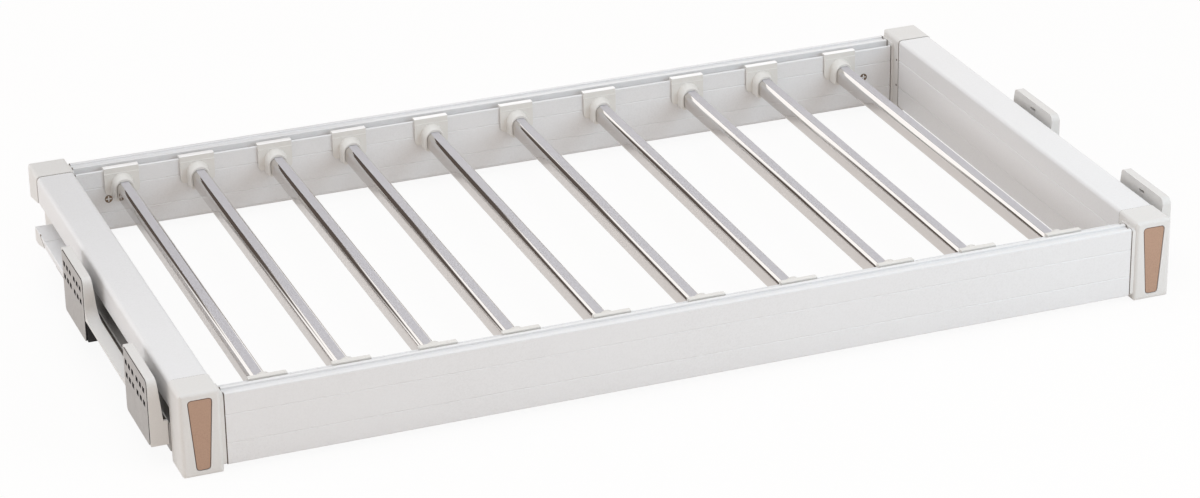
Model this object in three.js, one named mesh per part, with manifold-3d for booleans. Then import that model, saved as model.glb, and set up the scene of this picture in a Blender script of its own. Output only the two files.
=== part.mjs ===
// Pull-out trouser rack for the inside of a wardrobe.
// An aluminium frame with four corner blocks rides on two telescopic slides. Ten bars hang
// between the front and the rear rail on clip-on hangers that can be pushed along the rails.
// Each slide is carried by a runner that is screwed to the wardrobe's side with two steel plates.
// Millimetres. X runs to the right, Y to the back, Z up. The origin is under the middle of the
// frame, at the height of the undersides of the corner blocks.

import * as THREE from 'three';
import { mergeVertices } from 'three/addons/utils/BufferGeometryUtils.js';
import Module from 'manifold-3d';

const wasm = await Module();
wasm.setup();

// Driving dimensions
const cabinetWidth = 864;        // clear width that the rack is made for, over the steel plates
const runnerSpace = 16;          // from the corner blocks to the wardrobe on either side
const frameWidth = cabinetWidth - runnerSpace - runnerSpace; // over the corner blocks
const frameDepth = 480;          // over the corner blocks
const frameHeight = 69.5;        // corner blocks and side rails

// Clearances
const seat = 0.3;                // left between two pieces that rest on each other
const overrun = 1;               // how far a cut or a join runs past a face

// Corner blocks
const blockWidth = 32.5;
const frontBlockDepth = 29.5;
const rearBlockDepth = 33;
const blockCornerRadius = 4;     // upright edges
const blockEdgeRadius = 3.5;     // upper and lower edges of the front or rear
const blockFootRadius = 3;
const collarWidth = 2.4;         // raised rim that the front or rear rail butts against
const collarRadius = 3;
const tenonLength = 24;          // tongue inside each rail
const passageSlope = 6.4;        // fall of the roof over the slide, in the rear blocks

// Inlays in the two front blocks
const inlayTopWidth = 19;
const inlayFootWidth = 10.5;
const inlayMargin = 5.5;         // above and below
const inlayRadius = 2.6;
const inlayThickness = 1.6;
const inlaySink = 0.2;

// Front and rear rail: one hollow profile, turned round for the rear
const crossRailSetBack = 2;      // behind the face of the corner blocks
const crossRailThickness = 21.8;
const crossRailFoot = 5;
const crossRailTop = 64.2;
const railWall = 1.6;
const railEdgeRadius = 1.2;
const landWidth = 3.7;           // outer land on top
const channelWidth = 6.5;        // shallow channel behind the land
const channelDepth = 1.7;
const hookSlotWidth = 5.7;       // slot for the hooks of the hangers
const hookSlotDepth = 8.5;
const lipThickness = 2.4;        // inner lip that carries the hangers
const lipDrop = 2.7;             // leaves the hooks flush with the top of the rail
const toeRadius = 4.5;
const grooveWidth = 1.2;         // two fine lines along each face
const grooveDepth = 0.6;
const grooveShares = [0.3, 0.7];

// Side rails
const sideBoxHeight = 24;        // the part that hangs over the runner
const sideCrownRadius = 4;       // outer upper edge, on the corner blocks too
const sideInnerRadius = 3;       // inner upper edge
const sideRailStep = 0.4;        // how far the side rails stay below the faces of the blocks
const sideLegFoot = 5;

// Telescopic slides: three folded steel members, one inside the other
const slideLength = 360;
const slideThickness = 12.7;
const slideHeight = 23.4;
const slideStandOff = 1.2;       // outside the frame's side
const slideSheet = 1.2;
const slideChannelDepth = 10;
const slideLip = 1.6;
const slidePlay = 0.35;

// Carrier that the slide is screwed to, with a hood over both behind the rear bracket
const runnerGap = 10.2;          // from the top of the runner to the side rail above it
const carrierWidth = 6.3;
const carrierSheet = 1.6;
const carrierInnerHeight = 17.2;
const carrierOuterHeight = 3.9;
const hoodSheet = 1.3;
const hoodReach = 9;             // how far the hood reaches over the slide, under the side rail
const hoodSkirt = 5.6;           // outer side of the hood
const hoodEdgeRadius = 1;
const capLength = 38;
const capHeight = 12;
const capSlope = 22;             // length over which its foot slants down
const capFrontHeight = 6.4;
const capHeel = 5.5;             // round heel of the end cap
const capNose = 6;
const capPlugLength = 12;

// Brackets: two hollow towers on one moulded cover, each closed by a steel plate
const bracketSetBack = 30;       // front tower behind the frame's front
const rearBracketPlace = 194.5;  // rear tower behind the front tower
const bracketLength = 70.5;
const bracketDrop = 18.8;        // below the top of the runner
const bracketRise = 2.5;         // above the frame
const coverStrip = 2.1;          // thickness of the cover between the towers
const coverWall = 2.2;
const coverFrontWall = 2.5;
const towerTopWidth = 6;
const towerFootWidth = 9.5;
const towerFrontRadius = 6;
const towerRearRadius = 3;
const towerFlare = 12;           // hollow curve from a tower down to the strip
const clampHold = 14;            // length of the cover's foot beside the carrier
const clampMargin = 0.6;
const adjustSlotLength = 9;
const adjustSlotWidth = 2;
const adjustSlotDrop = 3;

// Steel plates
const plateThickness = 1.2;
const plateMargin = 1.5;         // the cover's rim runs round the plate
const plateSink = 0.4;           // how far the rim stays behind the plate's face
const plateRadius = 3.5;
const pierceShift = 1.2;         // slots behind the plate's middle
const pierceLength = 5.4;
const pierceHeight = 4;
const piercePitch = 9.5;
const pierceGroupPitch = 32.1;
const pierceRowDrop = 10.7;      // upper row below the plate's top
const pierceRowPitch = 11.2;

// Bars
const barWidth = 14;
const barFoot = 37.5;
const barHeight = 15;
const barWall = 1;
const barShoulderRadius = 5;
const barFootRadius = 2.5;
const stripWidth = 7.2;          // non-slip strip let into the top
const stripRise = 0.5;
const stripDepth = 1.4;
const stripEdgeRadius = 0.4;
// places of the ten bars, as shares of the frame's width from its middle
const barPlaceShares = [-0.41, -0.3303, -0.2471, -0.1662, -0.0761, 0.0192, 0.1137, 0.2151, 0.3024, 0.395];

// Hangers
const hangerWidth = 30.5;
const hangerPlate = 1.9;
const hangerStep = 0.5;          // the plate's upper edge is this much thinner
const hangerStepDrop = 5;
const hangerFoot = 39;
const hangerFootRadius = 4;
const hookThickness = 1.4;
const hookDrop = 5.5;
const hookRadius = 0.9;
const bossLength = 9;            // collar that the bar plugs into
const bossFootWidth = 19.8;      // where it grows out of the plate
const bossFootTop = 58;
const bossRimWall = 1.2;
const bossRimCrown = 2.2;
const frontStopRise = 4.8;       // front collars rise higher, as a stop for the clothes
const bossRadius = 2.6;

// Shares used by more than one outline
const half = 0.5;
const cornerSteps = 3;
const roundSteps = 5;

const vectorX = new THREE.Vector3(1, 0, 0);
const vectorY = new THREE.Vector3(0, 1, 0);
const vectorZ = new THREE.Vector3(0, 0, 1);
const frameAlongX = new THREE.Matrix4().makeBasis(vectorY, vectorZ, vectorX);
const frameAlongY = new THREE.Matrix4().makeBasis(vectorX, vectorZ, vectorY.clone().negate());

// Places that several pieces share
const frameSide = frameWidth * half;
const frameFront = -frameDepth * half;
const coverOuter = runnerSpace - plateThickness - seat;
const coverRim = runnerSpace - plateSink;
const carrierInner = slideStandOff + seat;
const carrierOuter = carrierInner + carrierWidth;
const hoodOuter = carrierOuter + seat + hoodSheet;
const recessDepth = slideThickness - slideStandOff + seat;
const sideBoxFoot = frameHeight - sideBoxHeight;
const runnerTop = sideBoxFoot - runnerGap;
const carrierTop = runnerTop - hoodSheet - seat;
const bracketFoot = runnerTop - bracketDrop;
const bracketTop = frameHeight + bracketRise;
const slideFront = frameFront + frontBlockDepth + seat;
const slideMiddle = carrierTop - slideHeight * half;
const coverFront = frameFront + bracketSetBack;
const carrierFront = coverFront + coverFrontWall + seat;
const carrierRear = slideFront + slideLength;
const coverFoot = runnerTop + seat;
const coverStripTop = coverFoot + coverStrip;
const rearTowerFront = coverFront + rearBracketPlace;
const rearTowerRear = rearTowerFront + bracketLength;
const lipTop = crossRailTop - lipDrop;
const lipInner = frameDepth * half - crossRailSetBack - crossRailThickness;
const hookSlotInner = lipInner + lipThickness;
const hookSlotFloor = crossRailTop - hookSlotDepth;
const hangerFace = lipInner - seat - hangerPlate;
const hookTop = lipTop + seat + hangerPlate;
const barTop = barFoot + barHeight;
const barEnd = hangerFace - seat;
const crossRailEnd = frameSide - blockWidth - collarWidth - seat;

// Outlines

// Rounds the corners of an outline. A corner is [x, y, radius, steps]; the last two may be left out.
function outline(corners) {
  const points = [];
  corners.forEach(([x, y, radius = 0, steps = cornerSteps], index) => {
    const corner = new THREE.Vector2(x, y);
    const before = corners[(index + corners.length - 1) % corners.length];
    const after = corners[(index + 1) % corners.length];
    const back = new THREE.Vector2(before[0], before[1]).sub(corner);
    const ahead = new THREE.Vector2(after[0], after[1]).sub(corner);
    const room = Math.min(back.length(), ahead.length()) * half;
    back.normalize();
    ahead.normalize();
    const opening = Math.acos(THREE.MathUtils.clamp(back.dot(ahead), -1, 1));
    const tangent = Math.min(radius / Math.tan(opening * half), room);
    if (tangent <= 0) {
      points.push(corner);
      return;
    }
    const reach = tangent / Math.cos(opening * half);
    const centre = back.clone().add(ahead).normalize().multiplyScalar(reach).add(corner);
    const first = back.clone().multiplyScalar(tangent).add(corner).sub(centre);
    const last = ahead.clone().multiplyScalar(tangent).add(corner).sub(centre);
    const turn = Math.atan2(first.cross(last), first.dot(last));
    for (let step = 0; step <= steps; step += 1) {
      points.push(first.clone().rotateAround(new THREE.Vector2(), turn * step / steps).add(centre));
    }
  });
  return points;
}

// Moves every side of an outline inwards, or outwards for a negative distance.
function inset(corners, distance) {
  const flat = corners.map(([x, y]) => new THREE.Vector2(x, y));
  const inward = Math.sign(THREE.ShapeUtils.area(flat)) * distance;
  return corners.map(([, , radius = 0, steps = cornerSteps], index) => {
    const corner = flat[index];
    const before = corner.clone().sub(flat[(index + flat.length - 1) % flat.length]).normalize();
    const after = flat[(index + 1) % flat.length].clone().sub(corner).normalize();
    const turn = before.cross(after);
    const shift = after.clone().sub(before).multiplyScalar(inward / turn);
    const outside = Math.sign(turn) * inward > 0;
    const rounded = Math.max(radius + (outside ? -Math.abs(distance) : Math.abs(distance)), 0);
    return [corner.x + shift.x, corner.y + shift.y, radius > 0 ? rounded : 0, steps];
  });
}

// Swaps left and right, so that one outline serves both sides.
function mirrored(corners) {
  return corners.map(([x, ...rest]) => [-x, ...rest]).reverse();
}

// A rectangle given by two opposite corners, all its corners rounded alike.
function rectangle(left, foot, right, top, radius = 0, steps = cornerSteps) {
  return [[left, foot, radius, steps], [right, foot, radius, steps],
    [right, top, radius, steps], [left, top, radius, steps]];
}

// Solids

// Points of an outline that run clockwise, as holes need, or the other way.
function wound(corners, clockwise) {
  const points = outline(corners);
  return THREE.ShapeUtils.isClockWise(points) === clockwise ? points : points.reverse();
}

function extrude(corners, holes, length) {
  const shape = new THREE.Shape(wound(corners, false));
  holes.forEach((hole) => shape.holes.push(new THREE.Path(wound(hole, true))));
  return new THREE.ExtrudeGeometry(shape, { depth: length, bevelEnabled: false });
}

// Outline in Y and Z, drawn along X.
function alongX(corners, from, to, holes = []) {
  const start = Math.min(from, to);
  return extrude(corners, holes, Math.abs(to - from)).translate(0, 0, start).applyMatrix4(frameAlongX);
}

// Outline in X and Z, drawn along Y.
function alongY(corners, from, to, holes = []) {
  const start = -Math.max(from, to);
  return extrude(corners, holes, Math.abs(to - from)).translate(0, 0, start).applyMatrix4(frameAlongY);
}

// Outline in X and Y, drawn along Z.
function alongZ(corners, from, to) {
  return extrude(corners, [], to - from).translate(0, 0, from);
}

// Joins two outlines of the same number of points, one at Y = from and one at Y = to.
function loftY(startCorners, from, endCorners, to) {
  const start = outline(startCorners);
  const end = outline(endCorners);
  const count = start.length;
  const places = [];
  start.forEach((point) => places.push(point.x, from, point.y));
  end.forEach((point) => places.push(point.x, to, point.y));
  const faces = [];
  for (let index = 0; index < count; index += 1) {
    const next = (index + 1) % count;
    faces.push(index, next, count + next, index, count + next, count + index);
  }
  THREE.ShapeUtils.triangulateShape(start, []).forEach(([a, b, c]) => {
    faces.push(a, c, b, count + a, count + b, count + c);
  });
  const flip = (to > from) === (THREE.ShapeUtils.area(start) > 0);
  const geometry = new THREE.BufferGeometry();
  geometry.setAttribute('position', new THREE.Float32BufferAttribute(places, 3));
  geometry.setIndex(flip ? faces.reverse() : faces);
  return geometry;
}

function solid(geometry) {
  const bare = geometry.clone();
  bare.deleteAttribute('normal');
  bare.deleteAttribute('uv');
  const merged = mergeVertices(bare);
  return new wasm.Manifold(new wasm.Mesh({
    numProp: 3,
    vertProperties: new Float32Array(merged.attributes.position.array),
    triVerts: new Uint32Array(merged.index.array),
  }));
}

function surface(body) {
  const mesh = body.getMesh();
  const geometry = new THREE.BufferGeometry();
  geometry.setAttribute('position', new THREE.BufferAttribute(mesh.vertProperties, mesh.numProp));
  geometry.setIndex(new THREE.BufferAttribute(mesh.triVerts, 1));
  return geometry;
}

function join(...pieces) {
  return surface(pieces.map(solid).reduce((whole, piece) => whole.add(piece)));
}

function cut(body, ...tools) {
  return surface(tools.map(solid).reduce((whole, tool) => whole.subtract(tool), solid(body)));
}

function common(...pieces) {
  return surface(pieces.map(solid).reduce((whole, piece) => whole.intersect(piece)));
}

// Materials
const paint = new THREE.MeshStandardMaterial({ color: 0xdddcda, roughness: 0.42, metalness: 0.25 });
const plastic = new THREE.MeshStandardMaterial({ color: 0xe4e2de, roughness: 0.5, metalness: 0 });
const inlayPlastic = new THREE.MeshStandardMaterial({ color: 0xae907a, roughness: 0.45, metalness: 0.2 });
const plateSteel = new THREE.MeshStandardMaterial({ color: 0xa5a09d, roughness: 0.4, metalness: 0.9 });
const slideSteel = new THREE.MeshStandardMaterial({ color: 0xc8c6c4, roughness: 0.35, metalness: 0.8 });
const carrierSteel = new THREE.MeshStandardMaterial({ color: 0x5a5048, roughness: 0.5, metalness: 0.5 });
const chrome = new THREE.MeshStandardMaterial({ color: 0xd8d6d4, roughness: 0.12, metalness: 1 });
const blackPlastic = new THREE.MeshStandardMaterial({ color: 0x161414, roughness: 0.55, metalness: 0 });

const rack = new THREE.Group();

function add(name, geometry, material) {
  const mesh = new THREE.Mesh(geometry, material);
  mesh.name = name;
  rack.add(mesh);
}

// A place outside the frame's left or right side: side is -1 or 1, out counts away from the frame.
function besideFrame(side, corners) {
  return corners.map(([out, z, ...rest]) => [side * (frameSide + out), z, ...rest]);
}

// Side rails

// Section of a side rail: a wide box that hangs over the runner, and a leg down its inner side.
// The first number of each corner counts outwards from the frame's side, so it is negative here.
function sideRailCorners() {
  const outer = -sideRailStep;
  const inner = sideRailStep - blockWidth;
  const top = frameHeight - sideRailStep;
  return [
    [outer, sideBoxFoot, railEdgeRadius], [-recessDepth, sideBoxFoot],
    [-recessDepth, sideLegFoot, railEdgeRadius], [inner, sideLegFoot, railEdgeRadius],
    [inner, top, sideInnerRadius, roundSteps], [outer, top, sideCrownRadius, roundSteps],
  ];
}

// Fine V-shaped lines along a face, as cutters in the section of the rail.
function grooveCutters(face, foot, top, inward) {
  return grooveShares.map((share) => {
    const height = foot + (top - foot) * share;
    return [
      [face - inward * overrun, height - grooveWidth * half], [face, height - grooveWidth * half],
      [face + inward * grooveDepth, height], [face, height + grooveWidth * half],
      [face - inward * overrun, height + grooveWidth * half],
    ];
  });
}

function sideRail(side) {
  const from = frameFront + frontBlockDepth + seat;
  const to = -frameFront - rearBlockDepth - seat;
  const corners = besideFrame(side, sideRailCorners());
  const hollow = besideFrame(side, inset(sideRailCorners(), railWall));
  const lines = grooveCutters(sideRailStep - blockWidth, sideLegFoot, frameHeight, 1);
  return cut(
    alongY(corners, from, to, [hollow]),
    ...lines.map((line) => alongY(besideFrame(side, line), from - overrun, to + overrun)),
  );
}

// Front and rear rail

// Section of a cross rail, drawn for the rear: the first number of each corner is Y.
function crossRailCorners() {
  const outer = -frameFront - crossRailSetBack;
  const channelOuter = outer - landWidth;
  const channelInner = channelOuter - channelWidth;
  const slotOuter = hookSlotInner + hookSlotWidth;
  const channelFloor = crossRailTop - channelDepth;
  return [
    [lipInner, crossRailFoot, toeRadius, roundSteps], [outer, crossRailFoot, railEdgeRadius],
    [outer, crossRailTop, railEdgeRadius], [channelOuter, crossRailTop, railEdgeRadius * half],
    [channelOuter, channelFloor], [channelInner, channelFloor],
    [channelInner, crossRailTop, railEdgeRadius * half], [slotOuter, crossRailTop, railEdgeRadius * half],
    [slotOuter, hookSlotFloor], [hookSlotInner, hookSlotFloor],
    [hookSlotInner, lipTop, railEdgeRadius], [lipInner, lipTop, railEdgeRadius],
  ];
}

// The closed box of the profile under the channel and the slot, which gives its hollow and the tenons.
function crossRailCore() {
  const outer = -frameFront - crossRailSetBack;
  const slotOuter = hookSlotInner + hookSlotWidth;
  const channelFloor = crossRailTop - channelDepth;
  return [
    [lipInner, crossRailFoot, toeRadius, roundSteps], [outer, crossRailFoot, railEdgeRadius],
    [outer, channelFloor], [slotOuter, channelFloor],
    [slotOuter, hookSlotFloor], [lipInner, hookSlotFloor],
  ];
}

function crossRail(end) {
  const turned = end > 0 ? (corners) => corners : mirrored;
  const outer = -frameFront - crossRailSetBack;
  const lines = [
    ...grooveCutters(lipInner, crossRailFoot, crossRailTop, 1),
    ...grooveCutters(outer, crossRailFoot, crossRailTop, -1),
  ];
  const core = turned(inset(crossRailCore(), railWall));
  return cut(
    alongX(turned(crossRailCorners()), -crossRailEnd, crossRailEnd, [core]),
    ...lines.map((line) => alongX(turned(line), -crossRailEnd - overrun, crossRailEnd + overrun)),
  );
}

// Corner blocks

// Rounded on the three sides that show, sharp where the rails butt.
// side is -1 for left and 1 for right, end is -1 for front and 1 for rear.
function blockBody(side, end) {
  const depth = end < 0 ? frontBlockDepth : rearBlockDepth;
  const outer = side * frameSide;
  const inner = side * (frameSide - blockWidth);
  const outerY = -end * frameFront;
  const innerY = outerY - end * depth;
  const endView = [
    [outer, 0, blockFootRadius], [inner, 0, blockFootRadius],
    [inner, frameHeight, sideInnerRadius, roundSteps], [outer, frameHeight, sideCrownRadius, roundSteps],
  ];
  const sideView = [
    [outerY, 0, blockEdgeRadius, roundSteps], [innerY, 0],
    [innerY, frameHeight], [outerY, frameHeight, blockEdgeRadius, roundSteps],
  ];
  const plan = [
    [outer, outerY, blockCornerRadius, roundSteps], [inner, outerY, blockCornerRadius, roundSteps],
    [inner, innerY], [outer, innerY],
  ];
  return common(
    alongY(endView, outerY, innerY), alongX(sideView, outer, inner),
    alongZ(plan, 0, frameHeight),
  );
}

// Rim and tongue that reach into the front or rear rail.
function crossTenon(side, end) {
  const turned = end > 0 ? (corners) => corners : mirrored;
  const face = side * (frameSide - blockWidth);
  const rimEnd = face - side * collarWidth;
  const outer = -frameFront - crossRailSetBack;
  const rim = rectangle(lipInner, crossRailFoot, outer, crossRailTop, collarRadius);
  const tongue = inset(crossRailCore(), railWall + seat);
  return [
    alongX(turned(rim), face + side * blockCornerRadius, rimEnd),
    alongX(turned(tongue), rimEnd + side * overrun, rimEnd - side * tenonLength),
  ];
}

// Tongue that reaches into the side rail.
function sideTenon(side, end) {
  const depth = end < 0 ? frontBlockDepth : rearBlockDepth;
  const innerY = -end * frameFront - end * depth;
  const tongue = besideFrame(side, inset(sideRailCorners(), railWall + seat));
  return alongY(tongue, innerY + end * overrun, innerY - end * tenonLength);
}

// The rear blocks are open below their outer half, where the slide passes. The roof of the opening
// comes down towards the back.
function slidePassage(side) {
  const front = -frameFront - rearBlockDepth;
  const sideView = [
    [front - overrun, -overrun], [-frameFront + overrun, -overrun],
    [-frameFront + overrun, sideBoxFoot - passageSlope], [front, sideBoxFoot], [front - overrun, sideBoxFoot],
  ];
  return alongX(sideView, side * (frameSide + overrun), side * (frameSide - recessDepth));
}

function inlayCorners(side) {
  const middle = side * (frameSide - blockWidth * half);
  const foot = inlayMargin;
  const top = frameHeight - inlayMargin;
  return [
    [middle - inlayFootWidth * half, foot, inlayRadius], [middle + inlayFootWidth * half, foot, inlayRadius],
    [middle + inlayTopWidth * half, top, inlayRadius], [middle - inlayTopWidth * half, top, inlayRadius],
  ];
}

function frontBlock(side) {
  const recessFloor = frameFront + inlaySink + inlayThickness + seat;
  const recess = alongY(inset(inlayCorners(side), -seat), frameFront - overrun, recessFloor);
  return cut(join(blockBody(side, -1), ...crossTenon(side, -1), sideTenon(side, -1)), recess);
}

function rearBlock(side) {
  const body = cut(join(blockBody(side, 1), ...crossTenon(side, 1)), slidePassage(side));
  return join(body, sideTenon(side, 1));
}

function inlay(side) {
  return alongY(inlayCorners(side), frameFront + inlaySink, frameFront + inlaySink + inlayThickness);
}

// Slides

// A folded channel with returned lips that opens towards the rack. back is the outside of its web.
function channelSection(back, depth, height) {
  const foot = slideMiddle - height * half;
  const top = slideMiddle + height * half;
  const mouth = back - depth;
  const web = back - slideSheet;
  const lip = mouth + slideSheet;
  const fold = slideSheet + slideLip;
  return [
    [back, foot, slideSheet], [back, top, slideSheet], [mouth, top, slideSheet],
    [mouth, top - fold], [lip, top - fold], [lip, top - slideSheet], [web, top - slideSheet],
    [web, foot + slideSheet], [lip, foot + slideSheet], [lip, foot + fold],
    [mouth, foot + fold], [mouth, foot, slideSheet],
  ];
}

const slideStep = slideSheet + slidePlay;
const middleHeight = slideHeight - slideStep - slideStep;
const middleDepth = slideChannelDepth - slideStep - slideStep;
const innerHeight = middleHeight - slideStep - slideStep;

// The rack's member: a hat section, its two feet held inside the middle member.
function hatSection() {
  const face = slideStandOff - slideThickness;
  const feet = slideStandOff - slideStep - middleDepth + slideStep;
  const foldedHeight = innerHeight - slideLip - slideLip;
  const foot = slideMiddle - innerHeight * half;
  const top = slideMiddle + innerHeight * half;
  const neckFoot = slideMiddle - foldedHeight * half;
  const neckTop = slideMiddle + foldedHeight * half;
  return [
    [feet + slideSheet, foot], [feet + slideSheet, neckFoot + slideSheet],
    [face + slideSheet, neckFoot + slideSheet], [face + slideSheet, neckTop - slideSheet],
    [feet + slideSheet, neckTop - slideSheet], [feet + slideSheet, top],
    [feet, top], [feet, neckTop], [face, neckTop, slideSheet],
    [face, neckFoot, slideSheet], [feet, neckFoot], [feet, foot],
  ];
}

function slideMember(side, corners) {
  return alongY(besideFrame(side, corners), slideFront, slideFront + slideLength);
}

// Runner

// A hooked aluminium profile: a long inner leg behind the slide, a short outer leg.
function carrier(side) {
  const corners = [
    [carrierInner, carrierTop - carrierInnerHeight], [carrierInner, carrierTop, carrierSheet * half],
    [carrierOuter, carrierTop, carrierSheet * half], [carrierOuter, carrierTop - carrierOuterHeight],
    [carrierOuter - carrierSheet, carrierTop - carrierOuterHeight],
    [carrierOuter - carrierSheet, carrierTop - carrierSheet],
    [carrierInner + carrierSheet, carrierTop - carrierSheet],
    [carrierInner + carrierSheet, carrierTop - carrierInnerHeight],
  ];
  return alongY(besideFrame(side, corners), carrierFront, carrierRear);
}

// Angle over the carrier and the slide, from the rear bracket to the end cap.
function hood(side) {
  const under = runnerTop - hoodSheet;
  const corners = [
    [-hoodReach, under], [-hoodReach, runnerTop, hoodEdgeRadius * half],
    [hoodOuter, runnerTop, hoodEdgeRadius], [hoodOuter, runnerTop - hoodSkirt],
    [hoodOuter - hoodSheet, runnerTop - hoodSkirt], [hoodOuter - hoodSheet, under],
  ];
  return alongY(besideFrame(side, corners), rearTowerRear + seat, carrierRear);
}

// Moulded cap behind the hood, round at its heel, with a plug between the carrier's legs.
function endCap(side) {
  const from = carrierRear + seat;
  const to = carrierRear + capLength;
  const foot = runnerTop - capHeight;
  const inner = side * (frameSide - hoodReach);
  const outer = side * (frameSide + hoodOuter);
  const sideView = [
    [from, runnerTop - capFrontHeight], [from + capSlope, foot, capHeel], [to, foot, capHeel, roundSteps],
    [to, runnerTop, capNose, roundSteps], [from, runnerTop],
  ];
  const endView = [
    [inner, foot], [outer, foot],
    [outer, runnerTop, hoodEdgeRadius], [inner, runnerTop, hoodEdgeRadius * half],
  ];
  const plan = [
    [inner, from], [outer, from],
    [outer, to, capNose, roundSteps], [inner, to, capNose, roundSteps],
  ];
  const plug = rectangle(
    carrierInner + carrierSheet + seat, carrierTop - carrierOuterHeight,
    carrierOuter - carrierSheet - seat, carrierTop - carrierSheet - seat,
  );
  return join(
    common(alongX(sideView, inner, outer), alongY(endView, from, to), alongZ(plan, foot, runnerTop)),
    alongY(besideFrame(side, plug), from - capPlugLength, from + overrun),
  );
}

// Side view of the cover: two towers on a thin strip.
function coverCorners() {
  const frontTowerRear = coverFront + bracketLength;
  return [
    [coverFront, coverFoot], [rearTowerRear, coverFoot],
    [rearTowerRear, bracketTop, towerRearRadius], [rearTowerFront, bracketTop, towerFrontRadius, roundSteps],
    [rearTowerFront, coverStripTop, towerFlare, roundSteps],
    [frontTowerRear, coverStripTop, towerFlare, roundSteps],
    [frontTowerRear, bracketTop, towerRearRadius], [coverFront, bracketTop, towerFrontRadius, roundSteps],
  ];
}

// End view of the towers, whose inner side leans outwards to the top.
function towerSection(outer, wall) {
  return [
    [outer, coverFoot - overrun], [outer, bracketTop + overrun],
    [coverOuter - towerTopWidth + wall, bracketTop + overrun],
    [coverOuter - towerFootWidth + wall, coverStripTop],
    [coverOuter - towerFootWidth + wall, coverFoot - overrun],
  ];
}

// Outline of a steel plate, grown by a gap where it is the seat for the plate.
function plateCorners(front, gap) {
  const rear = front + bracketLength;
  const top = bracketTop - plateMargin;
  return inset(rectangle(front + plateMargin, bracketFoot, rear - plateMargin, top, plateRadius), -gap);
}

// Hollow of one tower, open towards the steel plate.
function towerPocket(side, front) {
  const room = rectangle(
    front + coverWall, coverStripTop, front + bracketLength - coverWall, bracketTop - coverWall, coverWall,
  );
  return common(
    alongX(room, side * (frameSide + carrierInner), side * (frameSide + runnerSpace)),
    alongY(besideFrame(side, towerSection(runnerSpace, coverWall)), front, front + bracketLength),
  );
}

// Oblong slot through the inner wall of a tower, for a screwdriver.
function adjustSlot(side, front) {
  const middle = front + bracketLength * half;
  const top = bracketTop - coverWall - adjustSlotDrop;
  const slot = rectangle(
    middle - adjustSlotLength * half, top - adjustSlotWidth,
    middle + adjustSlotLength * half, top, adjustSlotWidth * half,
  );
  const pocketFace = coverOuter - towerTopWidth + coverWall;
  return alongX(slot, side * (frameSide + carrierInner), side * (frameSide + pocketFace + overrun));
}

// Foot of the front tower: a wall in front of the carrier, and a block that grips it. A low rib under
// the whole cover rests on the carrier.
function coverFeet(side) {
  const wall = rectangle(carrierInner, bracketFoot, coverRim, coverFoot + overrun);
  const grip = rectangle(carrierOuter + seat, bracketFoot, coverOuter, coverFoot + overrun);
  const ribInner = coverOuter - towerFootWidth + seat;
  const rib = rectangle(ribInner, carrierTop + seat, carrierOuter, coverFoot + overrun);
  const behindWall = coverFront + coverFrontWall;
  return [
    alongY(besideFrame(side, wall), coverFront, behindWall),
    alongY(besideFrame(side, grip), coverFront + overrun, behindWall + clampHold),
    alongY(besideFrame(side, rib), coverFront + overrun, rearTowerRear),
  ];
}

function bracketCover(side) {
  const reach = [side * (frameSide + carrierInner), side * (frameSide + coverRim)];
  const towers = common(
    alongX(coverCorners(), ...reach),
    alongY(besideFrame(side, towerSection(runnerSpace, 0)), coverFront - overrun, rearTowerRear + overrun),
  );
  const fronts = [coverFront, rearTowerFront];
  const seatReach = [side * (frameSide + coverOuter), side * (frameSide + runnerSpace)];
  return cut(
    join(towers, ...coverFeet(side)),
    ...fronts.map((front) => towerPocket(side, front)),
    ...fronts.map((front) => adjustSlot(side, front)),
    ...fronts.map((front) => alongX(plateCorners(front, seat), ...seatReach)),
  );
}

// Black clamp in the rear bracket: it grips the carrier's outer leg from outside and below.
function rearClamp(side) {
  const top = coverFoot - seat;
  const legFoot = carrierTop - carrierOuterHeight - seat;
  const corners = [
    [carrierInner + carrierSheet + seat, bracketFoot], [coverOuter, bracketFoot],
    [coverOuter, top], [carrierOuter + seat, top],
    [carrierOuter + seat, legFoot], [carrierInner + carrierSheet + seat, legFoot],
  ];
  return alongY(besideFrame(side, corners), rearTowerFront + clampMargin, rearTowerRear - clampMargin);
}

// Two rows of pierced slots in the upper half of a plate, each row in two groups of three.
function piercings(front) {
  const middle = front + bracketLength * half + pierceShift;
  const top = bracketTop - plateMargin - pierceRowDrop;
  const holes = [];
  for (const row of [0, 1]) {
    for (const group of [-half, half]) {
      for (const place of [-1, 0, 1]) {
        const y = middle + group * pierceGroupPitch + place * piercePitch;
        const z = top - row * pierceRowPitch;
        holes.push(rectangle(
          y - pierceLength * half, z - pierceHeight * half,
          y + pierceLength * half, z + pierceHeight * half,
        ));
      }
    }
  }
  return holes;
}

function steelPlate(side, front) {
  const inner = side * (frameSide + runnerSpace - plateThickness);
  const outer = side * (frameSide + runnerSpace);
  return cut(
    alongX(plateCorners(front, 0), inner, outer),
    ...piercings(front).map((hole) => alongX(hole, inner - side * overrun, outer + side * overrun)),
  );
}

// Bars and hangers

// Section of a bar: a flat-sided oval. x is the middle of the bar.
function barCorners(x) {
  const left = x - barWidth * half;
  const right = x + barWidth * half;
  return [
    [left, barFoot, barFootRadius, cornerSteps], [right, barFoot, barFootRadius, cornerSteps],
    [right, barTop, barShoulderRadius, roundSteps], [left, barTop, barShoulderRadius, roundSteps],
  ];
}

// Section of the strip that is let into the top of a bar.
function stripCorners(x) {
  const left = x - stripWidth * half;
  const right = x + stripWidth * half;
  return [
    [left, barTop - stripDepth], [right, barTop - stripDepth],
    [right, barTop + stripRise, stripEdgeRadius], [left, barTop + stripRise, stripEdgeRadius],
  ];
}

function bar(x) {
  return join(
    alongY(barCorners(x), -barEnd, barEnd, [inset(barCorners(x), barWall)]),
    alongY(stripCorners(x), -barEnd, barEnd),
  );
}

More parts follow.
